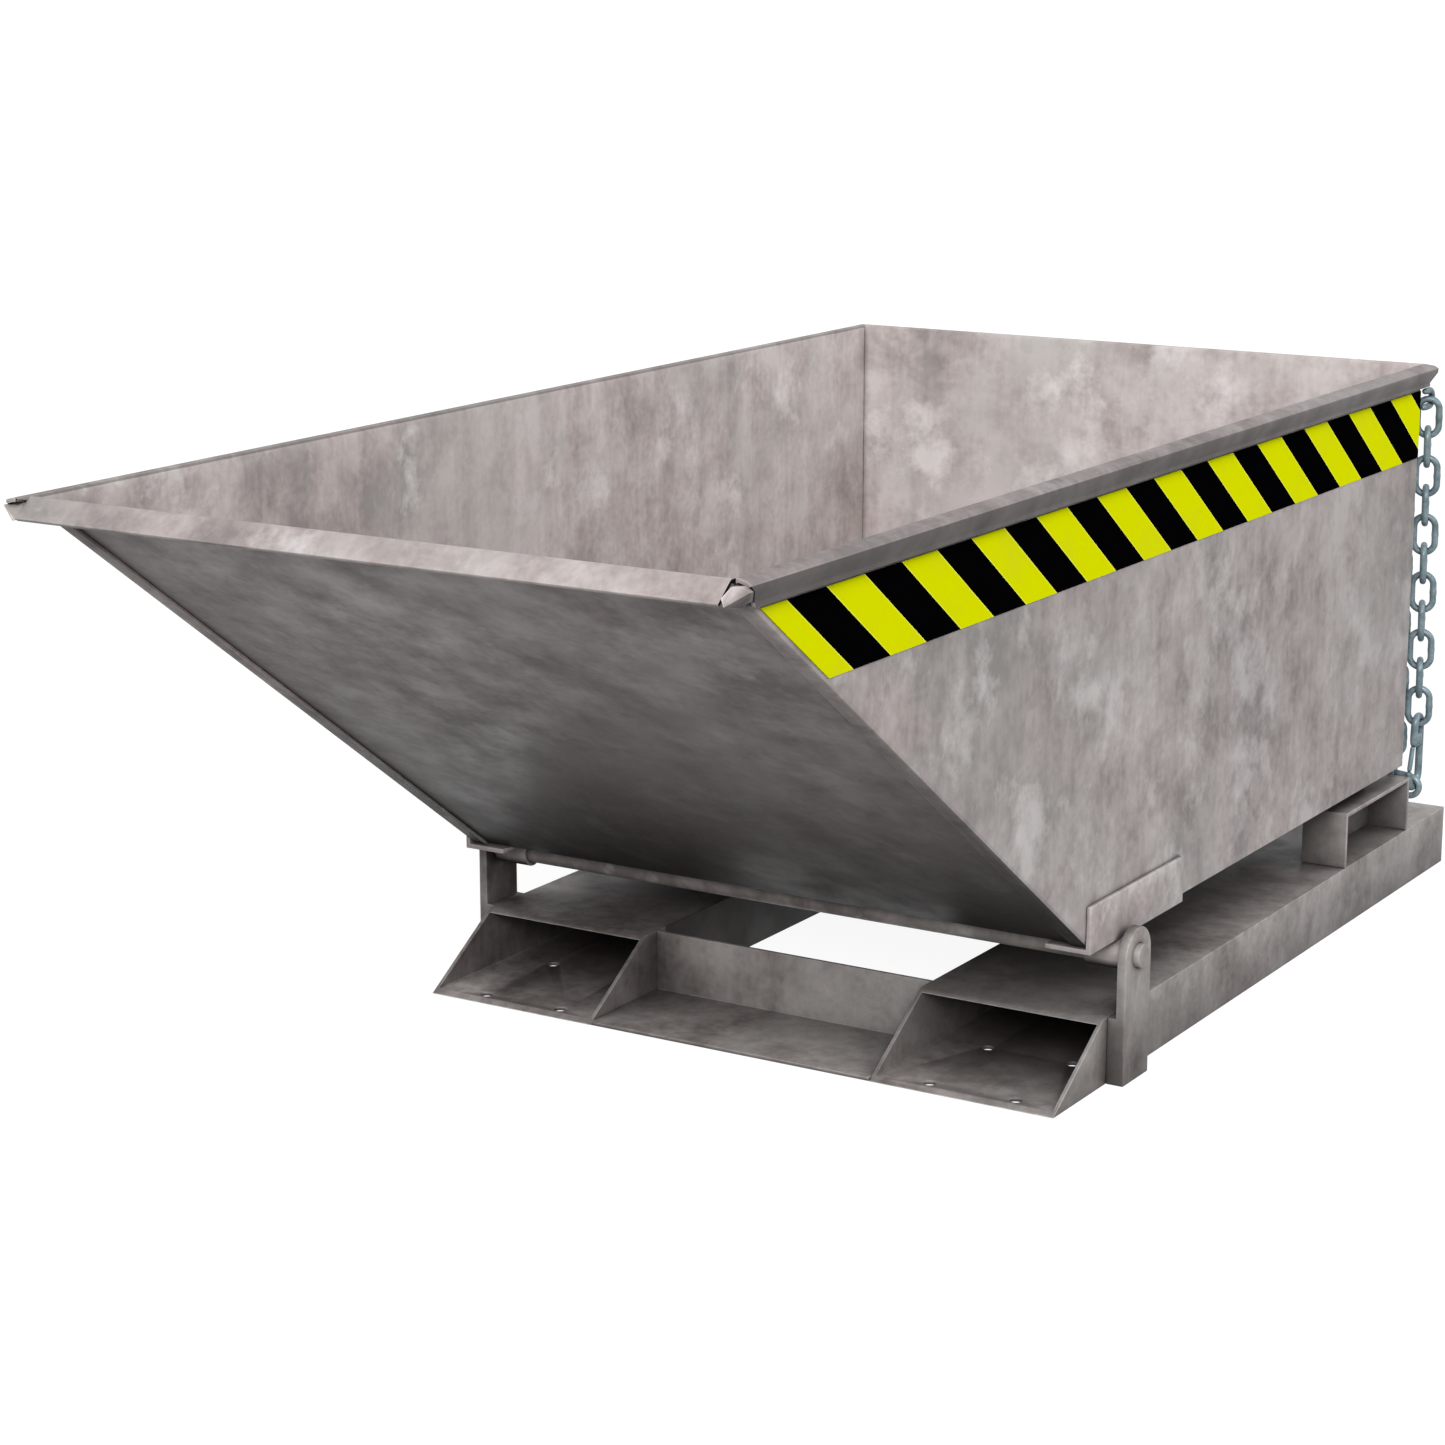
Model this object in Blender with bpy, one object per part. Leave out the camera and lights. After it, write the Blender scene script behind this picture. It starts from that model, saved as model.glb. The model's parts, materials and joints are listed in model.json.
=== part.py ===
"""Low forklift tipping skip: a sheet-steel hopper that tips forward about a through axle on a fork-pocket base.

Axes: +X is the right side, +Y the rear (the vertical wall and the safety chain), -Y the tipping lip, +Z up.
Lengths are in metres. Places along Y are first measured from the front toe of the fork pockets, and one
empty then carries every piece so that the origin lies at the bottom centre of the whole skip.
"""
import math

import bmesh
import bpy
import numpy as np
from mathutils import Matrix, Vector

# Clearances
GAP = 0.0003
RUNNING_GAP = 0.0004
CUT_OVERRUN = 0.01

# Base frame
BASE_LENGTH = 1.104
BASE_WIDTH = 0.764
POCKET_WIDTH = 0.210
POCKET_HEIGHT = 0.071
POCKET_WALL = 0.004
POCKET_SLANT = 0.111
CASTOR_HOLE = 0.014
CASTOR_HOLE_EDGE = 0.051
CASTOR_HOLE_PITCH_X = 0.098
CASTOR_HOLE_END = 0.0185
CASTOR_HOLE_PITCH_Y = 0.1295
TRAY_DEPTH = 0.1335
TRAY_WALL = 0.004

# Pivot ears, their packing plates and the axle
EAR_WIDTH = 0.060
EAR_THICKNESS = 0.010
PACKING_THICKNESS = 0.009
AXLE_DIAMETER = 0.025
AXLE_OVERHANG = 0.0058
AXLE_CHAMFER = 0.0012
AXLE_FROM_FRONT = 0.1497
SLEEVE_DIAMETER = 0.034
SLEEVE_LENGTH = 0.042
SLEEVE_SIDE_GAP = 0.0023

# Hinge angles under the hopper's front corners
ANGLE_LEG = 0.050
ANGLE_THICKNESS = 0.005
ANGLE_AHEAD_OF_AXLE = 0.0785
ANGLE_LENGTH = 0.2247

# Rear supports and their rest pads
SUPPORT_LENGTH = 0.2057
SUPPORT_PAST_HOPPER = 0.0186
SUPPORT_WIDTH = 0.055
SUPPORT_TOP = 0.1378
SUPPORT_PLATE = 0.005
PAD_WIDTH = 0.020
PAD_LENGTH = 0.080
PAD_INSET = 0.0015

# Hopper sheets
SHEET = 0.004
HOPPER_SIDE_INSET = 0.0035
HOPPER_BOTTOM = 0.1555
HOPPER_FRONT = 0.0770
HOPPER_REAR = 0.956
HOPPER_TOP = 0.6470
SLOPE_DEGREES = 35.3
BEND_RADIUS = 0.004
FLANGE_BEND_RADIUS = 0.0026
EDGE_FLANGE = 0.016
EDGE_FLANGE_TOP = 0.0285

# Rolled rim
RIM_OUT = 0.018
RIM_FALL = 0.0049
RIM_DEPTH = 0.0262
RIM_RETURN = 0.0093
RIM_EDGE = 0.0050
SIDE_RIM_NOSE = 0.0025
SIDE_RIM_CUT_BACK = 0.036
LIP_DROP = 0.0030
LIP_LENGTH = 0.0275
LIP_DEGREES = 41.0
LIP_END_INSET = 0.0085
LIP_END_TAPER = 0.009
LIP_NOTCH = 0.012

# Rim corner fillers
FILLER_BACK = 0.046
FILLER_TONGUE = 0.0035
FILLER_INSET = 0.0055
FILLER_REACH = 0.013
FILLER_TAPER = 0.004
FILLER_DROP = 0.0092
FILLER_HEIGHT = 0.0148
FILLER_NOSE = 0.016
FILLER_NOSE_GAP = 0.0022
FILLER_SINK = 0.0065

# Hazard bands
BAND_HEIGHT = 0.080
BAND_THICKNESS = 0.0010
BAND_DROP = 0.0330
BAND_REAR_INSET = 0.0010

# Safety chain
LINK_WIRE = 0.008
LINK_WIDTH = 0.033
LINK_LENGTH = 0.052
STRAND_PAST_SIDE = 0.0040
STRAND_SPACING = 0.0306
STRAND_FROM_WALL = 0.0195
STRAND_DROP = 0.0448
LONG_LINK_EXTRA = 0.0143
CHAIN_LEAN_DEGREES = 2.5
LOOSE_TWIST_DEGREES = 10.0
HOOKED_TWIST_DEGREES = 17.5
HOOKED_STRAND_LINKS = 11
LOOSE_STRAND_LINKS = 13
EYE_WIRE = 0.008
EYE_RADIUS = 0.0095
EYE_SEAT_GAP = 0.0006
STAPLE_WIRE = 0.006
STAPLE_INNER_WIDTH = 0.0136
STAPLE_CORNER = 0.006

# Snap hook
HOOK_WIRE = 0.009
HOOK_SEAT_GAP = 0.0008
HOOK_LENGTH = 0.100
HOOK_EYE_RADIUS = 0.010
HOOK_BEND_RADIUS = 0.0165
HOOK_NECK = 0.036
HOOK_NOSE = 0.068
HOOK_LEAN_DEGREES = 2.9
GATE_WIRE = 0.006
GATE_GAP = 0.0006

# Facets
ROUND_SIDES = 24
HOLE_SIDES = 16
WIRE_SIDES = 6
ARC_STEPS = 6
BEND_STEPS = 2
HALF_ROUND_STEPS = 10

# Worked out from the sizes above
HOPPER_WIDTH = BASE_WIDTH - 2 * HOPPER_SIDE_INSET
LIP_TOP = HOPPER_TOP - LIP_DROP
BAND_TOP = HOPPER_TOP - BAND_DROP
ANGLE_FRONT = AXLE_FROM_FRONT - ANGLE_AHEAD_OF_AXLE
SUPPORT_FRONT = HOPPER_REAR + SUPPORT_PAST_HOPPER - SUPPORT_LENGTH
STRAND_X = HOPPER_WIDTH / 2 + STRAND_PAST_SIDE
STRAND_TOP = HOPPER_TOP - STRAND_DROP
POCKET_INNER_X = BASE_WIDTH / 2 - POCKET_WIDTH
EAR_INNER_X = BASE_WIDTH / 2 + GAP + PACKING_THICKNESS + GAP
EAR_OUTER_X = EAR_INNER_X + EAR_THICKNESS
ANGLE_BOTTOM = HOPPER_BOTTOM - GAP - ANGLE_THICKNESS
AXLE_Z = ANGLE_BOTTOM - GAP - SLEEVE_DIAMETER / 2
SIDE_X = HOPPER_WIDTH / 2
INNER_X = SIDE_X - SHEET
SLOPE = math.radians(SLOPE_DEGREES)
CHAIN_LEAN = math.radians(CHAIN_LEAN_DEGREES)
LINK_BAR = LINK_LENGTH - LINK_WIRE
LONG_LINK_BAR = LINK_BAR + LONG_LINK_EXTRA
LINK_PITCH = LINK_LENGTH - 2 * LINK_WIRE - GAP
STRAND_Y = HOPPER_REAR + STRAND_FROM_WALL
LIP_ANGLE = math.radians(LIP_DEGREES)

STEEL = (0.30, 0.27, 0.26)
GALVANISED = (0.22, 0.27, 0.29)
BAND_YELLOW = (0.60, 0.60, 0.0)


def material(name, colour, roughness, metallic):
    """A plain Principled material."""
    made = bpy.data.materials.new(name)
    made.use_nodes = True
    shader = made.node_tree.nodes["Principled BSDF"]
    shader.inputs["Base Color"].default_value = (*colour, 1.0)
    shader.inputs["Roughness"].default_value = roughness
    shader.inputs["Metallic"].default_value = metallic
    made.diffuse_color = (*colour, 1.0)
    return made


def add_object(name, bm, finish, pivot=(0.0, 0.0, 0.0)):
    """Make an object from a bmesh given in skip coordinates, with its origin at the pivot."""
    colour, roughness, metallic = finish
    bmesh.ops.translate(bm, verts=bm.verts, vec=-Vector(pivot))
    mesh = bpy.data.meshes.new(name)
    bm.to_mesh(mesh)
    bm.free()
    made = bpy.data.objects.new(name, mesh)
    bpy.context.collection.objects.link(made)
    made.parent = SKIP
    made.location = pivot
    mesh.materials.append(material(name + "_finish", colour, roughness, metallic))
    return made


def add_cutter(name, bm, targets):
    """Make a hidden cutter and subtract it from each target."""
    mesh = bpy.data.meshes.new(name)
    bm.to_mesh(mesh)
    bm.free()
    cutter = bpy.data.objects.new(name, mesh)
    bpy.context.collection.objects.link(cutter)
    cutter.parent = SKIP
    cutter.hide_render = True
    cutter.display_type = "WIRE"
    for target in targets:
        cut = target.modifiers.new(name, "BOOLEAN")
        cut.operation = "DIFFERENCE"
        cut.solver = "EXACT"
        cut.object = cutter
    return cutter


def shade_round(made):
    """Shade a round piece smooth between its flat ends."""
    made.data.shade_smooth()
    made.data.set_sharp_from_angle(angle=math.radians(40.0))
    return made


def prism(outline, axis, start, end):
    """A closed prism: a plane outline extruded along X, Y or Z from start to end.

    The outline's pairs are (y, z) along X, (x, z) along Y and (x, y) along Z.
    """
    order = {"X": (2, 0, 1), "Y": (0, 2, 1), "Z": (0, 1, 2)}[axis]
    bm = bmesh.new()
    rows = []
    for place in (start, end):
        row = []
        for a, b in outline:
            values = (a, b, place)
            row.append(bm.verts.new([values[k] for k in order]))
        rows.append(row)
    bm.faces.new(rows[0])
    bm.faces.new(reversed(rows[1]))
    count = len(outline)
    for i in range(count):
        j = (i + 1) % count
        bm.faces.new((rows[0][j], rows[0][i], rows[1][i], rows[1][j]))
    bmesh.ops.recalc_face_normals(bm, faces=bm.faces)
    return bm


def box(x0, x1, y0, y1, z0, z1):
    """A closed box between two corners."""
    return prism([(x0, y0), (x1, y0), (x1, y1), (x0, y1)], "Z", z0, z1)


def rod(axis, centre, radius, start, end, sides=ROUND_SIDES):
    """A closed round bar along X or Z, with its facets' corners on the radius."""
    turn = 2 * math.pi / sides
    circle = [
        (centre[0] + radius * math.cos(turn * k), centre[1] + radius * math.sin(turn * k))
        for k in range(sides)
    ]
    return prism(circle, axis, start, end)


def arc(centre, radius, start, end, steps):
    """Points of an arc, its angles in radians."""
    return [
        (
            centre[0] + radius * math.cos(start + (end - start) * k / steps),
            centre[1] + radius * math.sin(start + (end - start) * k / steps),
        )
        for k in range(steps + 1)
    ]


def rounded_path(points, radius, steps):
    """A polyline in a plane with each inner corner turned into an arc of the given radius."""
    made = [tuple(points[0])]
    for before, here, after in zip(points, points[1:], points[2:]):
        here = Vector(here)
        back = (Vector(before) - here).normalized()
        on = (Vector(after) - here).normalized()
        half = back.angle(on) / 2
        reach = radius / math.tan(half)
        centre = here + (back + on).normalized() * (radius / math.sin(half))
        first = here + back * reach - centre
        last = here + on * reach - centre
        turn = first.angle_signed(last)
        for k in range(steps + 1):
            spun = Matrix.Rotation(-turn * k / steps, 2) @ first
            made.append(tuple(centre + spun))
    made.append(tuple(points[-1]))
    return made


def thicken_path(path, thickness):
    """The closed outline of a sheet that follows a path in a plane, half its thickness to each side."""
    sides = ([], [])
    for i, here in enumerate(path):
        here = Vector(here)
        normals = []
        if i > 0:
            step = (here - Vector(path[i - 1])).normalized()
            normals.append(Vector((-step.y, step.x)))
        if i < len(path) - 1:
            step = (Vector(path[i + 1]) - here).normalized()
            normals.append(Vector((-step.y, step.x)))
        middle = sum(normals, Vector((0.0, 0.0))).normalized()
        middle *= thickness / 2 / middle.dot(normals[0])
        sides[0].append(tuple(here + middle))
        sides[1].append(tuple(here - middle))
    return sides[0] + sides[1][::-1]


def thick_sheet(points, faces, thickness):
    """A closed sheet of even thickness about an open surface of flat faces."""
    normals = [[] for _ in points]
    for face in faces:
        corners = [Vector(points[k]) for k in face]
        across = Vector((0.0, 0.0, 0.0))
        for a, b in zip(corners, corners[1:] + corners[:1]):
            across += a.cross(b)
        for k in face:
            normals[k].append(across.normalized())
    bm = bmesh.new()
    upper, lower = [], []
    for point, around in zip(points, normals):
        rows = np.array([tuple(n) for n in around])
        offset = np.linalg.pinv(rows, rcond=1e-3) @ np.full(len(rows), thickness / 2)
        upper.append(bm.verts.new(Vector(point) + Vector(offset)))
        lower.append(bm.verts.new(Vector(point) - Vector(offset)))
    edges = {}
    for face in faces:
        bm.faces.new([upper[k] for k in face])
        bm.faces.new([lower[k] for k in reversed(face)])
        for a, b in zip(face, face[1:] + face[:1]):
            edges.setdefault(frozenset((a, b)), []).append((a, b))
    for found in edges.values():
        if len(found) == 1:
            a, b = found[0]
            bm.faces.new((upper[b], upper[a], lower[a], lower[b]))
    return bm


def slice_off(bm, point, normal):
    """Cut a closed body by a plane, drop what lies beyond it and close the cut."""
    parts = bm.verts[:] + bm.edges[:] + bm.faces[:]
    cut = bmesh.ops.bisect_plane(
        bm, geom=parts, plane_co=point, plane_no=normal, clear_outer=True
    )
    rim = [e for e in cut["geom_cut"] if isinstance(e, bmesh.types.BMEdge)]
    bmesh.ops.contextual_create(bm, geom=rim)
    bmesh.ops.recalc_face_normals(bm, faces=bm.faces)


def mirrored(bm):
    """A copy of a body on the other side of the skip."""
    other = bm.copy()
    bmesh.ops.scale(other, vec=(-1.0, 1.0, 1.0), verts=other.verts)
    bmesh.ops.reverse_faces(other, faces=other.faces)
    return other


def add_pair(name, bm, finish, pivot=(0.0, 0.0, 0.0)):
    """Make a piece on the right and its mirror image on the left."""
    other = mirrored(bm)
    right = add_object(name + "_right", bm, finish, pivot)
    left = add_object(name + "_left", other, finish, (-pivot[0], pivot[1], pivot[2]))
    return right, left


def slope_y(z, depth=0.0):
    """Where the hopper's sloping front stands at a height, at a depth behind its outer face."""
    return HOPPER_FRONT - (z - HOPPER_BOTTOM) / math.tan(SLOPE) + depth / math.sin(SLOPE)


def fork_pockets():
    """Two open tubes for the forks, cut on the slant in front, with holes for castor plates."""
    inner, outer = POCKET_INNER_X, BASE_WIDTH / 2
    side = [(0.0, 0.0), (BASE_LENGTH, 0.0), (BASE_LENGTH, POCKET_HEIGHT), (POCKET_SLANT, POCKET_HEIGHT)]
    right, left = add_pair("fork_pocket", prism(side, "X", inner, outer), STEEL_FINISH)
    for name, target, edge in (("right", right, outer), ("left", left, -inner)):
        x = (edge - POCKET_WIDTH + POCKET_WALL, edge - POCKET_WALL)
        tunnel = box(*x, -CUT_OVERRUN, BASE_LENGTH + CUT_OVERRUN, POCKET_WALL, POCKET_HEIGHT - POCKET_WALL)
        add_cutter("pocket_tunnel_" + name, tunnel, [target])
        far = edge - CASTOR_HOLE_EDGE
        rows = [CASTOR_HOLE_END, CASTOR_HOLE_END + CASTOR_HOLE_PITCH_Y]
        rows += [BASE_LENGTH - row for row in rows]
        holes = bmesh.new()
        for x_place in (far, far - CASTOR_HOLE_PITCH_X):
            for y_place in rows:
                drill = rod("Z", (x_place, y_place), CASTOR_HOLE / 2, -CUT_OVERRUN,
                            2 * POCKET_WALL, HOLE_SIDES)
                copied = bpy.data.meshes.new("drill")
                drill.to_mesh(copied)
                drill.free()
                holes.from_mesh(copied)
                bpy.data.meshes.remove(copied)
        add_cutter("castor_holes_" + name, holes, [target])


def trays():
    """Folded plates that tie the pockets together, in front and at the rear."""
    half = POCKET_INNER_X - GAP
    outline = [
        (0.0, 0.0),
        (TRAY_DEPTH + TRAY_WALL, 0.0),
        (TRAY_DEPTH + TRAY_WALL, POCKET_HEIGHT),
        (TRAY_DEPTH, POCKET_HEIGHT),
        (TRAY_DEPTH, TRAY_WALL),
        (0.0, TRAY_WALL),
    ]
    add_object("front_tray", prism(outline, "X", -half, half), STEEL_FINISH)
    rear = [(BASE_LENGTH - y, z) for y, z in outline]
    add_object("rear_tray", prism(rear, "X", -half, half), STEEL_FINISH)


def ears_and_axle():
    """Upright ears on packing plates, and the axle that runs through them from side to side."""
    half = EAR_WIDTH / 2
    top = arc((AXLE_FROM_FRONT, AXLE_Z), half, 0.0, math.pi, HALF_ROUND_STEPS)
    outline = [(AXLE_FROM_FRONT - half, 0.0), (AXLE_FROM_FRONT + half, 0.0), *top]
    ears = add_pair("pivot_ear", prism(outline, "X", EAR_INNER_X, EAR_OUTER_X), STEEL_FINISH)
    bore = rod("X", (AXLE_FROM_FRONT, AXLE_Z), AXLE_DIAMETER / 2 + RUNNING_GAP, -BASE_WIDTH, BASE_WIDTH)
    add_cutter("ear_bore", bore, ears)
    inner = BASE_WIDTH / 2 + GAP
    packing = box(inner, inner + PACKING_THICKNESS, AXLE_FROM_FRONT - half, AXLE_FROM_FRONT + half,
                  0.0, POCKET_HEIGHT)
    add_pair("ear_packing", packing, STEEL_FINISH)
    reach = EAR_OUTER_X + AXLE_OVERHANG
    bar = rod("X", (AXLE_FROM_FRONT, AXLE_Z), AXLE_DIAMETER / 2, -reach, reach)
    axle = add_object("axle", bar, STEEL_FINISH, (0.0, AXLE_FROM_FRONT, AXLE_Z))
    edge = axle.modifiers.new("end_chamfers", "BEVEL")
    edge.width = AXLE_CHAMFER
    edge.segments = 1
    edge.limit_method = "ANGLE"
    edge.angle_limit = math.radians(60.0)
    shade_round(axle)


def rear_supports():
    """Open stools on the pockets that carry the hopper's rear through small steel pads."""
    outer = BASE_WIDTH / 2
    inner = outer - SUPPORT_WIDTH
    rear = SUPPORT_FRONT + SUPPORT_LENGTH
    block = box(inner, outer, SUPPORT_FRONT, rear, POCKET_HEIGHT + GAP, SUPPORT_TOP)
    stools = add_pair("rear_support", block, STEEL_FINISH)
    for hand, stool in zip((1, -1), stools):
        x = sorted((hand * (inner + SUPPORT_PLATE), hand * (outer + CUT_OVERRUN)))
        hollow = box(*x, SUPPORT_FRONT + SUPPORT_PLATE, rear - SUPPORT_PLATE,
                     POCKET_HEIGHT - CUT_OVERRUN, SUPPORT_TOP - SUPPORT_PLATE)
        add_cutter(stool.name + "_hollow", hollow, [stool])
    middle = SUPPORT_FRONT + SUPPORT_LENGTH / 2
    pad = box(inner + PAD_INSET, inner + PAD_INSET + PAD_WIDTH, middle - PAD_LENGTH / 2,
              middle + PAD_LENGTH / 2, SUPPORT_TOP + GAP, HOPPER_BOTTOM - GAP)
    add_pair("rest_pad", pad, STEEL_FINISH)


def hinge_angles():
    """Rolled angles under the front corners, each with the sleeve that turns on the axle."""
    outer = SIDE_X + GAP + ANGLE_THICKNESS
    outline = [
        (outer, ANGLE_BOTTOM),
        (outer, ANGLE_BOTTOM + ANGLE_LEG),
        (outer - ANGLE_THICKNESS, ANGLE_BOTTOM + ANGLE_LEG),
        (outer - ANGLE_THICKNESS, ANGLE_BOTTOM + ANGLE_THICKNESS),
        (outer - ANGLE_LEG, ANGLE_BOTTOM + ANGLE_THICKNESS),
        (outer - ANGLE_LEG, ANGLE_BOTTOM),
    ]
    pivot = (outer, AXLE_FROM_FRONT, AXLE_Z)
    legs = prism(outline, "Y", ANGLE_FRONT, ANGLE_FRONT + ANGLE_LENGTH)
    add_pair("hinge_angle", legs, STEEL_FINISH, pivot)
    end = EAR_INNER_X - SLEEVE_SIDE_GAP
    tube = rod("X", (AXLE_FROM_FRONT, AXLE_Z), SLEEVE_DIAMETER / 2, end - SLEEVE_LENGTH, end)
    sleeves = add_pair("hinge_sleeve", tube, STEEL_FINISH, pivot)
    bore = rod("X", (AXLE_FROM_FRONT, AXLE_Z), AXLE_DIAMETER / 2 + RUNNING_GAP, -BASE_WIDTH, BASE_WIDTH)
    add_cutter("sleeve_bore", bore, sleeves)
    for sleeve in sleeves:
        shade_round(sleeve)


def rim_profile(wall, top):
    """The rolled rim's middle line, from the top of a wall at the given place outwards."""
    return [
        (wall, top),
        (wall + RIM_OUT, top - RIM_FALL),
        (wall + RIM_OUT - RIM_RETURN, top - RIM_DEPTH + RIM_EDGE),
        (wall + RIM_OUT - RIM_RETURN, top - RIM_DEPTH),
    ]


def rim_nose(z, side_top):
    """Where the side rim's front end is cut: furthest forward on top, further back at its lower edge."""
    fall = (side_top - z) / (RIM_DEPTH - RIM_FALL)
    front = slope_y(HOPPER_TOP) - SIDE_RIM_NOSE
    return front + max(0.0, fall - RIM_FALL / RIM_DEPTH) * SIDE_RIM_CUT_BACK


def side_sheets():
    """Side sheets with a rolled rim above and a narrow flange turned in over the sloping front."""
    wall = SIDE_X - SHEET / 2
    top = HOPPER_TOP - SHEET / 2
    bend = BEND_RADIUS
    beyond = HOPPER_REAR + 2 * RIM_OUT
    below = HOPPER_BOTTOM - SHEET

    low = (wall, HOPPER_BOTTOM)
    profile = rounded_path([low, *rim_profile(wall, top)], bend, BEND_STEPS)[1:]
    tight = FLANGE_BEND_RADIUS
    flange_depth = SHEET / 2 + tight
    flange_turn = [(0.0, flange_depth), *arc((-tight, flange_depth), tight, 0.0, -math.pi / 2, BEND_STEPS)[1:],
                   (-EDGE_FLANGE, SHEET / 2)]
    flange_top = HOPPER_TOP - EDGE_FLANGE_TOP

    points, faces = [], []
    wall_top = profile[0][1]
    corner = slope_y(below, flange_depth)
    upper = slope_y(flange_top, flange_depth)
    crest = slope_y(wall_top, flange_depth)
    points += [(wall, beyond, below), (wall, beyond, wall_top), (wall, crest, wall_top),
               (wall, upper, flange_top), (wall, corner, below)]
    faces.append((0, 1, 2, 3, 4))
    last_rear, last_front = 1, 2
    for x, z in profile[1:]:
        points.append((x, beyond, z))
        points.append((x, rim_nose(z, top), z))
        rear, front = len(points) - 2, len(points) - 1
        faces.append((last_rear, rear, front, last_front))
        last_rear, last_front = rear, front
    last_top, last_low = 3, 4
    for x, depth in flange_turn[1:]:
        points.append((wall + x, slope_y(flange_top, depth), flange_top))
        points.append((wall + x, slope_y(below, depth), below))
        up, down = len(points) - 2, len(points) - 1
        faces.append((last_low, last_top, up, down))
        last_top, last_low = up, down

    bm = thick_sheet(points, faces, SHEET)
    bmesh.ops.recalc_face_normals(bm, faces=bm.faces)
    slice_off(bm, (wall, corner, HOPPER_BOTTOM), (0.0, 0.0, -1.0))
    mitre = Vector((-1.0, 1.0, 0.0)).normalized()
    slice_off(bm, Vector((SIDE_X, HOPPER_REAR, top)) - mitre * GAP / 2, mitre)
    add_pair("side_sheet", bm, STEEL_FINISH, (SIDE_X, AXLE_FROM_FRONT, AXLE_Z))


def floor_sheet():
    """One sheet folded into the front lip, the sloping front and the floor."""
    depth = SHEET + GAP + SHEET / 2
    lip_y = slope_y(LIP_TOP, depth)
    floor_z = HOPPER_BOTTOM + SHEET / 2
    fold_y = slope_y(floor_z, depth)
    path = [
        (lip_y - LIP_LENGTH * math.cos(LIP_ANGLE), LIP_TOP - LIP_LENGTH * math.sin(LIP_ANGLE)),
        (lip_y, LIP_TOP),
        (fold_y, floor_z),
        (HOPPER_REAR - SHEET - GAP, floor_z),
    ]
    outline = thicken_path(rounded_path(path, BEND_RADIUS, BEND_STEPS), SHEET)
    half = INNER_X - GAP
    bm = prism(outline, "X", -half, half)
    down = Vector((0.0, math.cos(SLOPE), -math.sin(SLOPE)))
    notch = Vector((0.0, lip_y, LIP_TOP)) + down * LIP_NOTCH
    parts = bm.verts[:] + bm.edges[:] + bm.faces[:]
    bmesh.ops.bisect_plane(bm, geom=parts, plane_co=notch, plane_no=down)
    for corner in bm.verts:
        if (corner.co - notch).dot(down) < -GAP:
            end = INNER_X - LIP_END_INSET + (LIP_TOP - corner.co.z) * LIP_END_TAPER / LIP_LENGTH
            corner.co.x = math.copysign(end, corner.co.x)
    add_object("floor_sheet", bm, STEEL_FINISH, (0.0, AXLE_FROM_FRONT, AXLE_Z))


def rear_sheet():
    """The rear wall with its rolled rim, mitred to both side sheets."""
    wall = HOPPER_REAR - SHEET / 2
    top = HOPPER_TOP - SHEET / 2
    path = rounded_path([(wall, HOPPER_BOTTOM), *rim_profile(wall, top)], BEND_RADIUS, BEND_STEPS)
    reach = HOPPER_WIDTH / 2 + 2 * RIM_OUT
    bm = prism(thicken_path(path, SHEET), "X", -reach, reach)
    for hand in (1, -1):
        mitre = Vector((hand, -1.0, 0.0)).normalized()
        slice_off(bm, Vector((hand * SIDE_X, HOPPER_REAR, top)) - mitre * GAP / 2, mitre)
    add_object("rear_sheet", bm, STEEL_FINISH, (0.0, AXLE_FROM_FRONT, AXLE_Z))


def corner_fillers():
    """Faceted blocks that close the rim between the lip's ends and the side rims, on tongues under them."""
    inner, tongue = SIDE_X + GAP, SIDE_X + FILLER_TONGUE
    near, far = SIDE_X - FILLER_INSET, SIDE_X + FILLER_REACH
    top, low = HOPPER_TOP - FILLER_DROP, HOPPER_TOP - FILLER_DROP - FILLER_HEIGHT
    side_top = HOPPER_TOP - SHEET / 2
    back = slope_y(HOPPER_TOP) + FILLER_BACK
    gap_top = rim_nose(top, side_top) - FILLER_NOSE_GAP
    gap_low = min(rim_nose(low, side_top), slope_y(low)) - FILLER_NOSE_GAP
    step = FILLER_NOSE_GAP / 2
    rings = [
        [(inner, back, top), (tongue, back, top), (tongue, back, low), (inner, back, low)],
        [(inner, gap_top, top), (tongue, gap_top, top), (tongue, gap_low, low), (inner, gap_low, low)],
        [(near, gap_top - step, top), (far, gap_top - step, top),
         (far - FILLER_TAPER, gap_low - step, low), (near, gap_low - step, low)],
        [(near, gap_top - FILLER_NOSE, top - FILLER_SINK),
         (far - FILLER_TAPER, gap_top - FILLER_NOSE / 2, top - FILLER_SINK),
         (far - FILLER_TAPER, gap_top - FILLER_NOSE / 4, low),
         (near, gap_top - FILLER_NOSE / 2, low)],
    ]
    bm = bmesh.new()
    rows = [[bm.verts.new(corner) for corner in ring] for ring in rings]
    for before, after in zip(rows, rows[1:]):
        for k in range(len(before)):
            j = (k + 1) % len(before)
            bm.faces.new((before[k], before[j], after[j]))
            bm.faces.new((before[k], after[j], after[k]))
    bm.faces.new(rows[0])
    bm.faces.new(rows[-1][:-1])
    bm.faces.new((rows[-1][0], rows[-1][2], rows[-1][3]))
    bmesh.ops.recalc_face_normals(bm, faces=bm.faces)
    add_pair("rim_corner_filler", bm, STEEL_FINISH, (SIDE_X, AXLE_FROM_FRONT, AXLE_Z))


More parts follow.
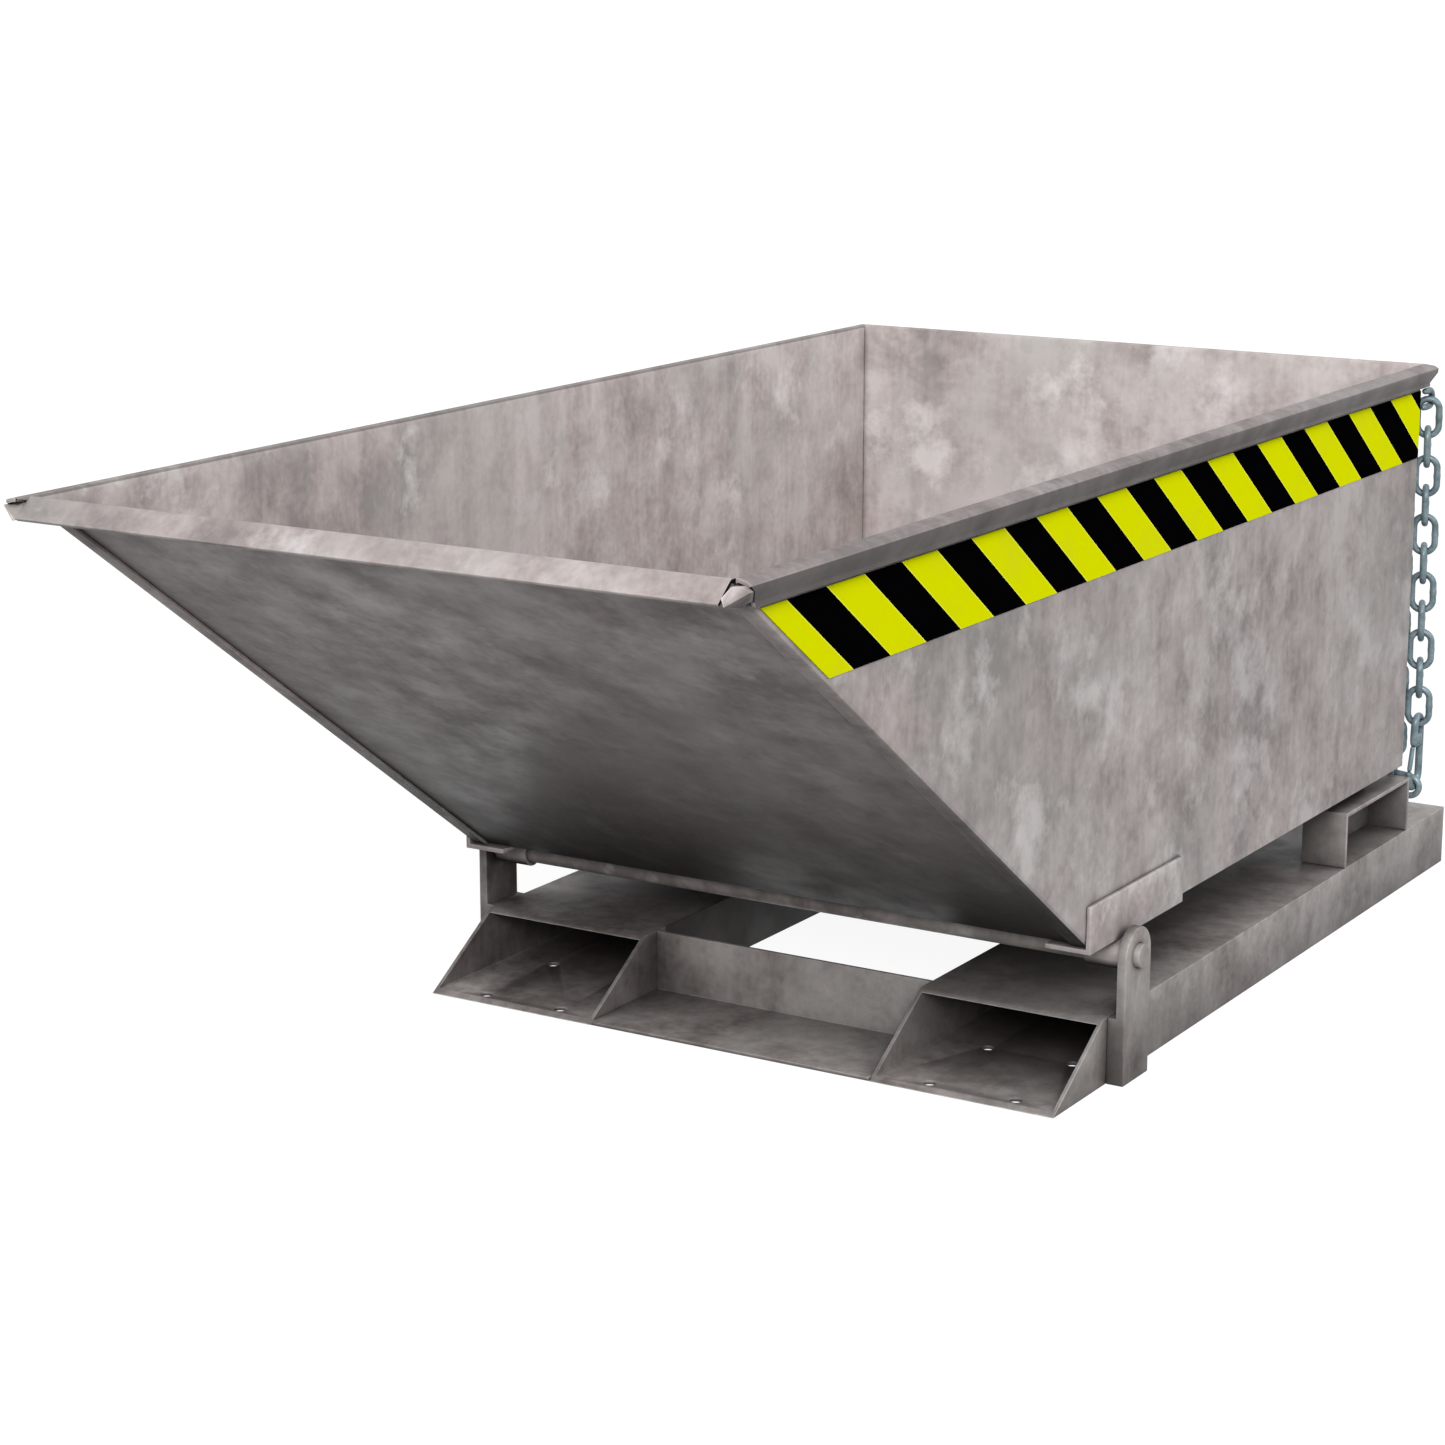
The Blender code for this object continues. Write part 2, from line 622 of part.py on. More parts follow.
def hazard_bands():
    """Striped bands along the top of both sides, below the rim."""
    low = BAND_TOP - BAND_HEIGHT
    start = SIDE_X + GAP
    rear = HOPPER_REAR - BAND_REAR_INSET
    inset = FLANGE_BEND_RADIUS + SHEET / 2
    outline = [
        (slope_y(low, inset), low), (rear, low), (rear, BAND_TOP), (slope_y(BAND_TOP, inset), BAND_TOP),
    ]
    band = prism(outline, "X", start, start + BAND_THICKNESS)
    add_pair("hazard_band", band, BAND_FINISH, (SIDE_X, AXLE_FROM_FRONT, AXLE_Z))


def tube(centres, radius, sides, closed, place, end_shares=()):
    """A bent wire whose middle line lies in the plane of the place's first and third axes.

    A closed wire is a ring. An open one is capped, and end_shares gives its last rings' shares of the
    radius with how far each lies past the end, as shares of the radius.
    """
    line = [Vector((a, 0.0, b)) for a, b in centres]
    count = len(line)
    rings = []
    for i, here in enumerate(line):
        before = line[i - 1] if closed or i > 0 else here
        after = line[(i + 1) % count] if closed or i < count - 1 else here
        inward = (here - before).normalized() if i > 0 or closed else (after - here).normalized()
        onward = (after - here).normalized() if i < count - 1 or closed else inward
        along = (inward + onward).normalized()
        across = Vector((-along.z, 0.0, along.x))
        stretch = 1.0 / max(across.dot(Vector((-inward.z, 0.0, inward.x))), 0.5)
        rings.append((here, along, across, stretch, 1.0))
    if not closed:
        first, last = rings[0], rings[-1]
        for past, share in end_shares:
            rings.insert(0, (first[0] - first[1] * radius * past, *first[1:4], share))
            rings.append((last[0] + last[1] * radius * past, *last[1:4], share))
    bm = bmesh.new()
    rows = []
    for here, _, across, stretch, share in rings:
        row = []
        for k in range(sides):
            angle = 2 * math.pi * (k + 0.5) / sides
            offset = across * (math.cos(angle) * radius * share * stretch)
            offset += Vector((0.0, math.sin(angle) * radius * share, 0.0))
            row.append(bm.verts.new(place @ (here + offset)))
        rows.append(row)
    pairs = list(zip(rows, rows[1:]))
    if closed:
        pairs.append((rows[-1], rows[0]))
    else:
        bm.faces.new(rows[0])
        bm.faces.new(rows[-1])
    for low, high in pairs:
        for k in range(sides):
            j = (k + 1) % sides
            bm.faces.new((low[k], low[j], high[j], high[k]))
    bmesh.ops.recalc_face_normals(bm, faces=bm.faces)
    return bm


def link_centres(bar=LINK_BAR):
    """The middle line of a chain link, centred, with its length along the third axis."""
    radius = (LINK_WIDTH - LINK_WIRE) / 2
    rise = bar / 2 - radius
    upper = arc((0.0, rise), radius, 0.0, math.pi, ARC_STEPS)
    lower = arc((0.0, -rise), radius, math.pi, 2 * math.pi, ARC_STEPS)
    return upper + lower


def strand_frame(x, top):
    """A strand's frame: its origin at the strand's top, its third axis up along the leaning strand."""
    lean = Matrix.Rotation(CHAIN_LEAN, 4, "X")
    return Matrix.Translation((x, STRAND_Y, top)) @ lean


def add_link(name, frame, bar_top, broad, twist_degrees, held_by=LINK_WIRE, bar=LINK_BAR):
    """One link, its upper bar's middle at a height in the strand's frame, with its origin on what holds it."""
    turn = math.radians(twist_degrees) + (0.0 if broad else math.pi / 2)
    place = frame @ Matrix.Translation((0.0, 0.0, bar_top - bar / 2)) @ Matrix.Rotation(turn, 4, "Z")
    hinge = bar_top if broad else bar_top - (LINK_WIRE + held_by) / 2 - GAP
    pivot = frame @ Vector((0.0, 0.0, hinge))
    bm = tube(link_centres(bar), LINK_WIRE / 2, WIRE_SIDES, True, place)
    shade_round(add_object(name, bm, CHAIN_FINISH, pivot))


def chain_anchors():
    """A bent eye for the hooked strand and a staple for the loose one, under the rear rim."""
    start = HOPPER_REAR + GAP
    eye_z = STRAND_TOP + EYE_RADIUS - (LINK_WIRE + EYE_WIRE) / 2 - EYE_SEAT_GAP
    ends = [(start, eye_z - EYE_RADIUS), (start, eye_z + EYE_RADIUS)]
    turn = arc((STRAND_Y, eye_z), EYE_RADIUS, -math.pi / 2, math.pi / 2, 2 * ARC_STEPS)
    upright = Matrix.Translation((STRAND_X, 0.0, 0.0)) @ Matrix.Rotation(math.pi / 2, 4, "Z")
    bm = tube([ends[0], *turn, ends[1]], EYE_WIRE / 2, WIRE_SIDES, False, upright)
    shade_round(add_object("chain_eye", bm, CHAIN_FINISH, (STRAND_X, STRAND_Y, eye_z)))

    x = STRAND_X - STRAND_SPACING
    z = STRAND_TOP
    reach = STAPLE_INNER_WIDTH / 2 + STAPLE_WIRE / 2
    route = [(-reach, start - STRAND_Y), (-reach, 0.0), (reach, 0.0), (reach, start - STRAND_Y)]
    centres = rounded_path(route, STAPLE_CORNER, ARC_STEPS // 2)
    flat = Matrix.Translation((x, STRAND_Y, z)) @ Matrix.Rotation(-math.pi / 2, 4, "X")
    bm = tube(centres, STAPLE_WIRE / 2, WIRE_SIDES, False, flat)
    shade_round(add_object("chain_staple", bm, CHAIN_FINISH, (x, STRAND_Y, z)))


def safety_chain():
    """Two strands of a safety chain, with the snap hook that joins their lower ends.

    Both hang from one line, so that they can swing together: the loose strand's first link is a longer one.
    """
    hooked = strand_frame(STRAND_X, STRAND_TOP)
    for k in range(HOOKED_STRAND_LINKS):
        add_link(f"hooked_strand_link_{k + 1:02d}", hooked, -k * LINK_PITCH, k % 2 == 0, HOOKED_TWIST_DEGREES)
    loose = strand_frame(STRAND_X - STRAND_SPACING, STRAND_TOP)
    bar_top = (LINK_WIRE + STAPLE_WIRE) / 2 + GAP
    for k in range(LOOSE_STRAND_LINKS):
        held_by = LINK_WIRE if k else STAPLE_WIRE
        bar = LINK_BAR if k else LONG_LINK_BAR
        add_link(f"loose_strand_link_{k + 1:02d}", loose, bar_top, k % 2 == 1, LOOSE_TWIST_DEGREES, held_by, bar)
        last_bar = bar_top - bar
        bar_top = last_bar + LINK_WIRE + GAP

    seat = (LINK_WIRE + HOOK_WIRE) / 2 + HOOK_SEAT_GAP
    hook_top = -(HOOKED_STRAND_LINKS - 1) * LINK_PITCH - LINK_BAR + seat
    lean = Matrix.Rotation(math.radians(HOOK_LEAN_DEGREES), 4, "Y")
    quarter = Matrix.Rotation(math.pi / 2, 4, "Z")
    place = hooked @ Matrix.Translation((0.0, 0.0, hook_top)) @ lean @ quarter
    hinge = hooked @ Vector((0.0, 0.0, hook_top - seat))
    bottom = -(HOOK_LENGTH - HOOK_WIRE)
    middle = bottom + HOOK_BEND_RADIUS
    body = [
        (-HOOK_EYE_RADIUS, -HOOK_NECK),
        *arc((0.0, -HOOK_EYE_RADIUS), HOOK_EYE_RADIUS, math.pi, 0.0, ARC_STEPS),
        *arc((0.0, middle), HOOK_BEND_RADIUS, 0.0, -math.pi, 2 * ARC_STEPS),
        (-HOOK_BEND_RADIUS, -HOOK_NOSE),
    ]
    bm = tube(body, HOOK_WIRE / 2, WIRE_SIDES, False, place)
    shade_round(add_object("snap_hook_body", bm, CHAIN_FINISH, hinge))
    upper_end = Vector((-HOOK_EYE_RADIUS, -HOOK_NECK))
    lower_end = Vector((-HOOK_BEND_RADIUS, -HOOK_NOSE))
    along = (lower_end - upper_end).normalized()
    tip = GATE_WIRE / 2 + GATE_GAP
    first, last = upper_end + along * tip, lower_end - along * tip
    gate = [tuple(first), tuple(last)]
    round_shares = ((0.5, 0.87), (0.85, 0.5))
    bm = tube(gate, GATE_WIRE / 2, WIRE_SIDES, False, place, round_shares)
    pivot = place @ Vector((first.x, 0.0, first.y))
    shade_round(add_object("snap_hook_gate", bm, CHAIN_FINISH, pivot))

    loose_end = loose @ Vector((0.0, 0.0, last_bar))
    hook_end = place @ Vector((0.0, 0.0, bottom))
    span = hook_end - loose_end
    outward = span.normalized()
    centre = hook_end - outward * (LINK_BAR / 2 - LINK_WIRE / 2 - HOOK_WIRE / 2 - GAP)
    side = Vector((0.0, 1.0, 0.0))
    side = (side - outward * side.dot(outward)).normalized()
    first_axis = side.cross(outward)
    turn = Matrix((first_axis, side, outward)).transposed().to_4x4()
    bm = tube(link_centres(), LINK_WIRE / 2, WIRE_SIDES, True, Matrix.Translation(centre) @ turn)
    shade_round(add_object("hooked_end_link", bm, CHAIN_FINISH, hook_end))


STEEL_FINISH = (STEEL, 0.55, 0.6)
CHAIN_FINISH = (GALVANISED, 0.4, 0.9)
BAND_FINISH = (BAND_YELLOW, 0.45, 0.0)

for old in list(bpy.data.objects):
    bpy.data.objects.remove(old)

lip_front = slope_y(LIP_TOP, SHEET + GAP + SHEET / 2) - LIP_LENGTH * math.cos(LIP_ANGLE)
lip_front -= SHEET / 2 * math.sin(LIP_ANGLE)
SKIP = bpy.data.objects.new("skip_origin", None)
bpy.context.collection.objects.link(SKIP)
SKIP.location = (0.0, -(lip_front + BASE_LENGTH) / 2, 0.0)

fork_pockets()
trays()
ears_and_axle()
rear_supports()
hinge_angles()
side_sheets()
floor_sheet()
rear_sheet()
corner_fillers()
hazard_bands()
chain_anchors()
safety_chain()
bpy.context.view_layer.update()
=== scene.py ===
"""Looks of a low forklift tipping skip: mottled raw steel, hazard bands and a galvanised safety chain.

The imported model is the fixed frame. Plates and sheets get rounded edges, turned and bent pieces get their
true round forms, and each surface gets a procedural material on Object coordinates. All lengths are in
metres. Corners are written in the skip's own places, whose Y starts at the toe of the pockets, and
frame_shift() brings them to the frame; a material's places are the frame's own.
"""

import json
import logging
import math
from dataclasses import dataclass
from enum import Enum
from typing import Callable, Sequence

import bmesh
import bpy
from mathutils import Matrix, Vector

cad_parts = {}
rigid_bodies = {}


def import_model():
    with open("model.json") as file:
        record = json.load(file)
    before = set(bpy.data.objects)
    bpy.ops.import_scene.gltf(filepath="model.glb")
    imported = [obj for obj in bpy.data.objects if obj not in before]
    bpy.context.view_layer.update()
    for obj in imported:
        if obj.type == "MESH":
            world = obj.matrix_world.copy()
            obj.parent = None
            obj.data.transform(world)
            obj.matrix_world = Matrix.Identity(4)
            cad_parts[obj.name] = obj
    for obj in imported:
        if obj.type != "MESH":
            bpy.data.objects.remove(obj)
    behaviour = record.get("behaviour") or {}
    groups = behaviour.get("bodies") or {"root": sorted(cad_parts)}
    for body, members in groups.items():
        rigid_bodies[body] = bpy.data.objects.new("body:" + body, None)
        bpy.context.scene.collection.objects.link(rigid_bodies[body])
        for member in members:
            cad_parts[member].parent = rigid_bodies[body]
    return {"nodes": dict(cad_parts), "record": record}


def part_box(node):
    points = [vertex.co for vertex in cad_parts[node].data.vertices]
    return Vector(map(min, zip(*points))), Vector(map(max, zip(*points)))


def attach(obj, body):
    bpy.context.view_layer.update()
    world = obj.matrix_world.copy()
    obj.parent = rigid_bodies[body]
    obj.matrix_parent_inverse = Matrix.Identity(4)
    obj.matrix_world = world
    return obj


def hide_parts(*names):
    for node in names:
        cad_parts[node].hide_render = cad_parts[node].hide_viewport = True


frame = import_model()

LOG = logging.getLogger("tipping_skip")
MERGE_DISTANCE = 1e-5
FLAT_WITHIN = math.radians(0.4)
ROUND_FROM = math.radians(40.0)
FINE_SMOOTH_DEGREES = 35.0
QUARTER_TURN = math.pi / 2
Colour = tuple[float, float, float]
Corner = tuple[float, float, float]
Span = tuple[float, float]
Socket = bpy.types.NodeSocket
Material = bpy.types.Material
Piece = bpy.types.Object
Mesh = bmesh.types.BMesh


class Side(Enum):
    """A side of the skip, with the sign of its X places."""

    RIGHT = 1
    LEFT = -1

    @property
    def word(self) -> str:
        """The side's name as the nodes spell it."""
        return self.name.lower()


# Node trees


class Wiring:
    """A node tree that is filled by calls."""

    def __init__(self, tree: bpy.types.NodeTree) -> None:
        """Keep the tree."""
        self.tree = tree

    def add(self, kind: str, feeds: dict | None = None, **values: object) -> bpy.types.Node:
        """Add a node and feed its inputs.

        Args:
            kind: The node's type.
            feeds: Input names or indices, each with an output socket or a value.
            values: Attributes of the node.

        Returns:
            The node.
        """
        node = self.tree.nodes.new(kind)
        for key, value in values.items():
            setattr(node, key, value)
        for key, value in (feeds or {}).items():
            self.feed(node.inputs[key], value)
        return node

    def feed(self, target: Socket, source: object) -> None:
        """Link a socket into another, or set its value.

        Args:
            target: The input socket.
            source: An output socket, or a plain value.
        """
        if isinstance(source, Socket):
            self.tree.links.new(source, target)
        else:
            target.default_value = source

    def math(self, operation: str, first: object, second: object = 0.0) -> Socket:
        """A Math node's result."""
        return self.add("ShaderNodeMath", {0: first, 1: second}, operation=operation).outputs[0]

    def fold(self, operation: str, values: Sequence[object]) -> Socket:
        """Values joined two by two, from the first on.

        Args:
            operation: The Math node's operation.
            values: Two or more sockets or numbers.

        Returns:
            The result.
        """
        result = values[0]
        for value in values[1:]:
            result = self.math(operation, result, value)
        return result

    def product(self, *factors: object) -> Socket:
        """The product of sockets and numbers."""
        return self.fold("MULTIPLY", factors)

    def total(self, *terms: object) -> Socket:
        """The sum of sockets and numbers."""
        return self.fold("ADD", terms)

    def above(self, value: object, bound: float) -> Socket:
        """1 where a value is over a bound."""
        return self.math("GREATER_THAN", value, bound)

    def below(self, value: object, bound: float) -> Socket:
        """1 where a value is under a bound."""
        return self.math("LESS_THAN", value, bound)

    def seen(self) -> Socket:
        """1 where a shader is looked at, also by reflection or through glass; 0 where it lights."""
        path = self.add("ShaderNodeLightPath").outputs
        return self.fold("MAXIMUM", [path[f"Is {ray} Ray"] for ray in ("Camera", "Glossy", "Transmission")])


@dataclass(frozen=True)
class Noise:
    """Fractal noise: cells to a metre, octaves, how much the fine ones count, and how warped it is."""

    scale: float
    detail: float = 4.0
    roughness: float = 0.55
    distortion: float = 0.0


@dataclass(frozen=True)
class Patches:
    """A soft patchy value: the noise levels between which it goes from its least to its most."""

    noise: Noise
    start: float
    full: float
    most: float
    least: float = 0.0


class ShaderTree(Wiring):
    """A material with a Principled shader whose inputs are fed by procedural nodes."""

    edge_samples = 4
    crevice_samples = 6

    def __init__(self, name: str, metallic: float, specular: float) -> None:
        """Start a material.

        Args:
            name: The material's name.
            metallic: The shader's metallic value.
            specular: The shader's specular level.
        """
        self.material = bpy.data.materials.new(name)
        self.material.use_nodes = True
        super().__init__(self.material.node_tree)
        self.shader = self.tree.nodes["Principled BSDF"]
        self.feed(self.shader.inputs["Metallic"], metallic)
        self.feed(self.shader.inputs["Specular IOR Level"], specular)
        self.place = self.add("ShaderNodeTexCoord").outputs["Object"]

    def stretched(self, scale: Sequence[float], turn: Sequence[float]) -> Socket:
        """Object coordinates turned and then scaled unevenly, for streaks."""
        feeds = {"Vector": self.place, "Rotation": turn, "Scale": scale}
        return self.add("ShaderNodeMapping", feeds).outputs["Vector"]

    def axes(self, vector: Socket | None = None) -> bpy.types.NodeOutputs:
        """The X, Y and Z of a vector, or of the Object coordinates."""
        return self.add("ShaderNodeSeparateXYZ", {"Vector": vector or self.place}).outputs

    def facing(self) -> bpy.types.NodeOutputs:
        """The X, Y and Z of the way that the face looks."""
        return self.axes(self.add("ShaderNodeNewGeometry").outputs["True Normal"])

    def noise(self, noise: Noise, place: Socket | None = None) -> Socket:
        """Fractal noise over a vector, or over the Object coordinates."""
        feeds = {"Vector": place or self.place, "Scale": noise.scale, "Detail": noise.detail,
                 "Roughness": noise.roughness, "Distortion": noise.distortion}
        return self.add("ShaderNodeTexNoise", feeds).outputs["Fac"]

    def patches(self, patches: Patches) -> Socket:
        """The patchy value."""
        return self.span(self.noise(patches.noise), patches.start, patches.full, patches.least, patches.most)

    def ramp(self, value: Socket, places: Sequence[float], colours: Sequence[Colour]) -> Socket:
        """A colour ramp.

        Args:
            value: The socket that drives it.
            places: The colours' places from 0 to 1.
            colours: The colours.

        Returns:
            The colour socket.
        """
        node = self.add("ShaderNodeValToRGB", {"Fac": value})
        points = node.color_ramp.elements
        while len(points) < len(places):
            points.new(1.0)
        for point, place, colour in zip(points, places, colours):
            point.position = place
            point.color = (*colour, 1.0)
        return node.outputs["Color"]

    def span(
        self, value: Socket, low: float, high: float, to_low: float = 0.0, to_high: float = 1.0
    ) -> Socket:
        """A value mapped from one span, low to high, to another and clamped."""
        feeds = {"Value": value, "From Min": low, "From Max": high, "To Min": to_low, "To Max": to_high}
        return self.add("ShaderNodeMapRange", feeds, clamp=True).outputs["Result"]

    def mix(self, share: object, under: object, over: object) -> Socket:
        """One colour laid over another.

        Args:
            share: How much of the upper one counts, as a socket or number.
            under: The colour beneath.
            over: The colour above.

        Returns:
            The colour socket.
        """
        lower, upper = ((*c, 1.0) if isinstance(c, tuple) else c for c in (under, over))
        feeds = {"Factor": share, "A": lower, "B": upper}
        return self.add("ShaderNodeMix", feeds, data_type="RGBA").outputs["Result"]

    def edge_mask(self, radius: float, gain: float) -> Socket:
        """Where the surface turns over an edge.

        Args:
            radius: How far from the edge it reaches.
            gain: How fast it rises.

        Returns:
            A value from 0 on flats to 1 on edges.
        """
        bevel = self.add("ShaderNodeBevel", {"Radius": radius}, samples=self.edge_samples)
        normal = self.add("ShaderNodeNewGeometry").outputs["True Normal"]
        dot = self.add("ShaderNodeVectorMath", {0: bevel.outputs["Normal"], 1: normal},
                       operation="DOT_PRODUCT")
        return self.span(self.math("SUBTRACT", 1.0, dot.outputs["Value"]), 0.0, 1.0 / gain)

    def crevice_mask(self, reach: float, shut: float, clear: float) -> Socket:
        """1 where what stands within reach leaves open no more of the view than shut, 0 from clear on."""
        node = self.add("ShaderNodeAmbientOcclusion", {"Distance": reach}, samples=self.crevice_samples)
        return self.span(node.outputs["AO"], shut, clear, 1.0, 0.0)

    def finish(
        self, colour: Socket, roughness: Socket, height: Socket, distance: float, strength: float
    ) -> Material:
        """Feed the shader.

        Args:
            colour: The base colour.
            roughness: The roughness.
            height: The bump's height socket.
            distance: The height in metres of one unit.
            strength: The bump's strength.

        Returns:
            The material.
        """
        bump = self.add("ShaderNodeBump", {"Distance": distance, "Strength": strength, "Height": height})
        feeds = {"Base Color": colour, "Roughness": roughness, "Normal": bump.outputs["Normal"]}
        for key, source in feeds.items():
            self.feed(self.shader.inputs[key], source)
        return self.material


# Painted shade on the steel


@dataclass(frozen=True)
class Shade:
    """A layer of painted shade over the steel's colour, with how much of it counts."""

    colour: Colour
    share: float

    def mask(self, s: ShaderTree) -> Socket:
        """Where the layer lies, from 0 to 1."""
        raise NotImplementedError

    def lay(self, s: ShaderTree, under: Socket) -> Socket:
        """The colour with this layer over it."""
        return s.mix(s.product(self.mask(s), self.share), under, self.colour)


@dataclass(frozen=True)
class UndersideShade(Shade):
    """Painted shade on faces that look down, more so the lower they lie."""

    colour: Colour = (0.008, 0.0085, 0.008)
    share: float = 0.97
    low: float = 0.16
    high: float = 0.66
    tilt: Span = (0.25, 0.75)

    def mask(self, s: ShaderTree) -> Socket:
        """How low the face lies, times how much it looks down."""
        low = s.span(s.axes()["Z"], self.low, self.high, 1.0, 0.0)
        return s.product(low, s.span(s.product(s.facing()["Z"], -1.0), *self.tilt))


@dataclass(frozen=True)
class CreviceShade(Shade):
    """Painted shade in seams and hollows, where other surfaces stand close: how near a surface has to be, and
    the open shares of the view.
    """

    colour: Colour = (0.035, 0.030, 0.030)
    share: float = 0.82
    reach: float = 0.007
    view: Span = (0.28, 0.70)

    def mask(self, s: ShaderTree) -> Socket:
        """Where another surface stands close by."""
        return s.crevice_mask(self.reach, *self.view)


@dataclass(frozen=True)
class ShadeBetweenPockets(Shade):
    """Painted shade on what lies between the base's pockets and behind the front tray's face, under the
    hopper.
    """

    colour: Colour = (0.014, 0.011, 0.010)
    share: float = 0.88
    half: float = 0.1735
    front: float = -0.088
    back: float = 0.700

    def mask(self, s: ShaderTree) -> Socket:
        """1 between the pockets."""
        place = s.axes()
        return s.product(s.below(s.math("ABSOLUTE", place["X"]), self.half),
                         s.above(place["Y"], self.front),
                         s.below(place["Y"], self.back))


@dataclass(frozen=True)
class RimShade(Shade):
    """Painted shade on a side's rolled rim: its outer leg most, its top less, and not its front end."""

    colour: Colour = (0.062, 0.057, 0.054)
    share: float = 0.85
    inside: float = 0.3755
    bottom: float = 0.6165
    top_tilt: float = 0.6
    top_share: float = 0.55
    front_tilt: float = -0.5

    def mask(self, s: ShaderTree) -> Socket:
        """How much painted shade the rim gets."""
        place, facing = s.axes(), s.facing()
        return s.product(s.above(s.math("ABSOLUTE", place["X"]), self.inside),
                         s.above(place["Z"], self.bottom),
                         s.span(facing["Z"], 0.0, self.top_tilt, 1.0, self.top_share),
                         s.above(facing["Y"], self.front_tilt))


@dataclass(frozen=True)
class RecessShade(Shade):
    """Painted shade in the recess between the lip, the rolled rim and the corner's plug."""

    colour: Colour = (0.003, 0.003, 0.003)
    share: float = 1.0
    bottom: float = 0.6200

    def zone(self, s: ShaderTree, inside: float) -> tuple[Socket, Socket, Socket]:
        """What lies high and far out.

        Args:
            s: The material's tree.
            inside: How far from the middle it starts.

        Returns:
            1 in the zone, how far out the place lies, and how much the face looks outward.
        """
        place = s.axes()
        out = s.math("ABSOLUTE", place["X"])
        outward = s.product(s.facing()["X"], s.math("SIGN", place["X"]))
        above = s.above(place["Z"], self.bottom)
        return s.product(above, s.above(out, inside)), out, outward


@dataclass(frozen=True)
class LipEndShade(RecessShade):
    """Painted shade on the lip's cut ends, in the recess."""

    end: float = 0.3755
    ahead_of: float = 0.0
    outward_tilt: float = 0.7

    def mask(self, s: ShaderTree) -> Socket:
        """1 on the lip's ends."""
        zone, _, outward = self.zone(s, self.end)
        return s.product(zone, s.below(s.axes()["Y"], self.ahead_of),
                         s.above(outward, self.outward_tilt))


@dataclass(frozen=True)
class RollShade(RecessShade):
    """Painted shade on the side sheet's front edge and in its rolled rim."""

    wall_inside: float = 0.3735
    wall_outside: float = 0.3790
    inward_tilt: float = -0.3
    under_tilt: float = -0.6
    front_tilt: float = -0.5

    def mask(self, s: ShaderTree) -> Socket:
        """1 on the wall's front edge, and in the roll where it looks inward or down."""
        zone, out, outward = self.zone(s, self.wall_inside)
        facing = s.facing()
        beyond = s.above(out, self.wall_outside)
        inward = s.product(beyond, s.below(outward, self.inward_tilt))
        under = s.product(beyond, s.below(facing["Z"], self.under_tilt))
        edge = s.product(s.math("SUBTRACT", 1.0, beyond), s.below(facing["Y"], self.front_tilt))
        return s.product(zone, s.fold("MAXIMUM", (edge, inward, under)))


# Finishes


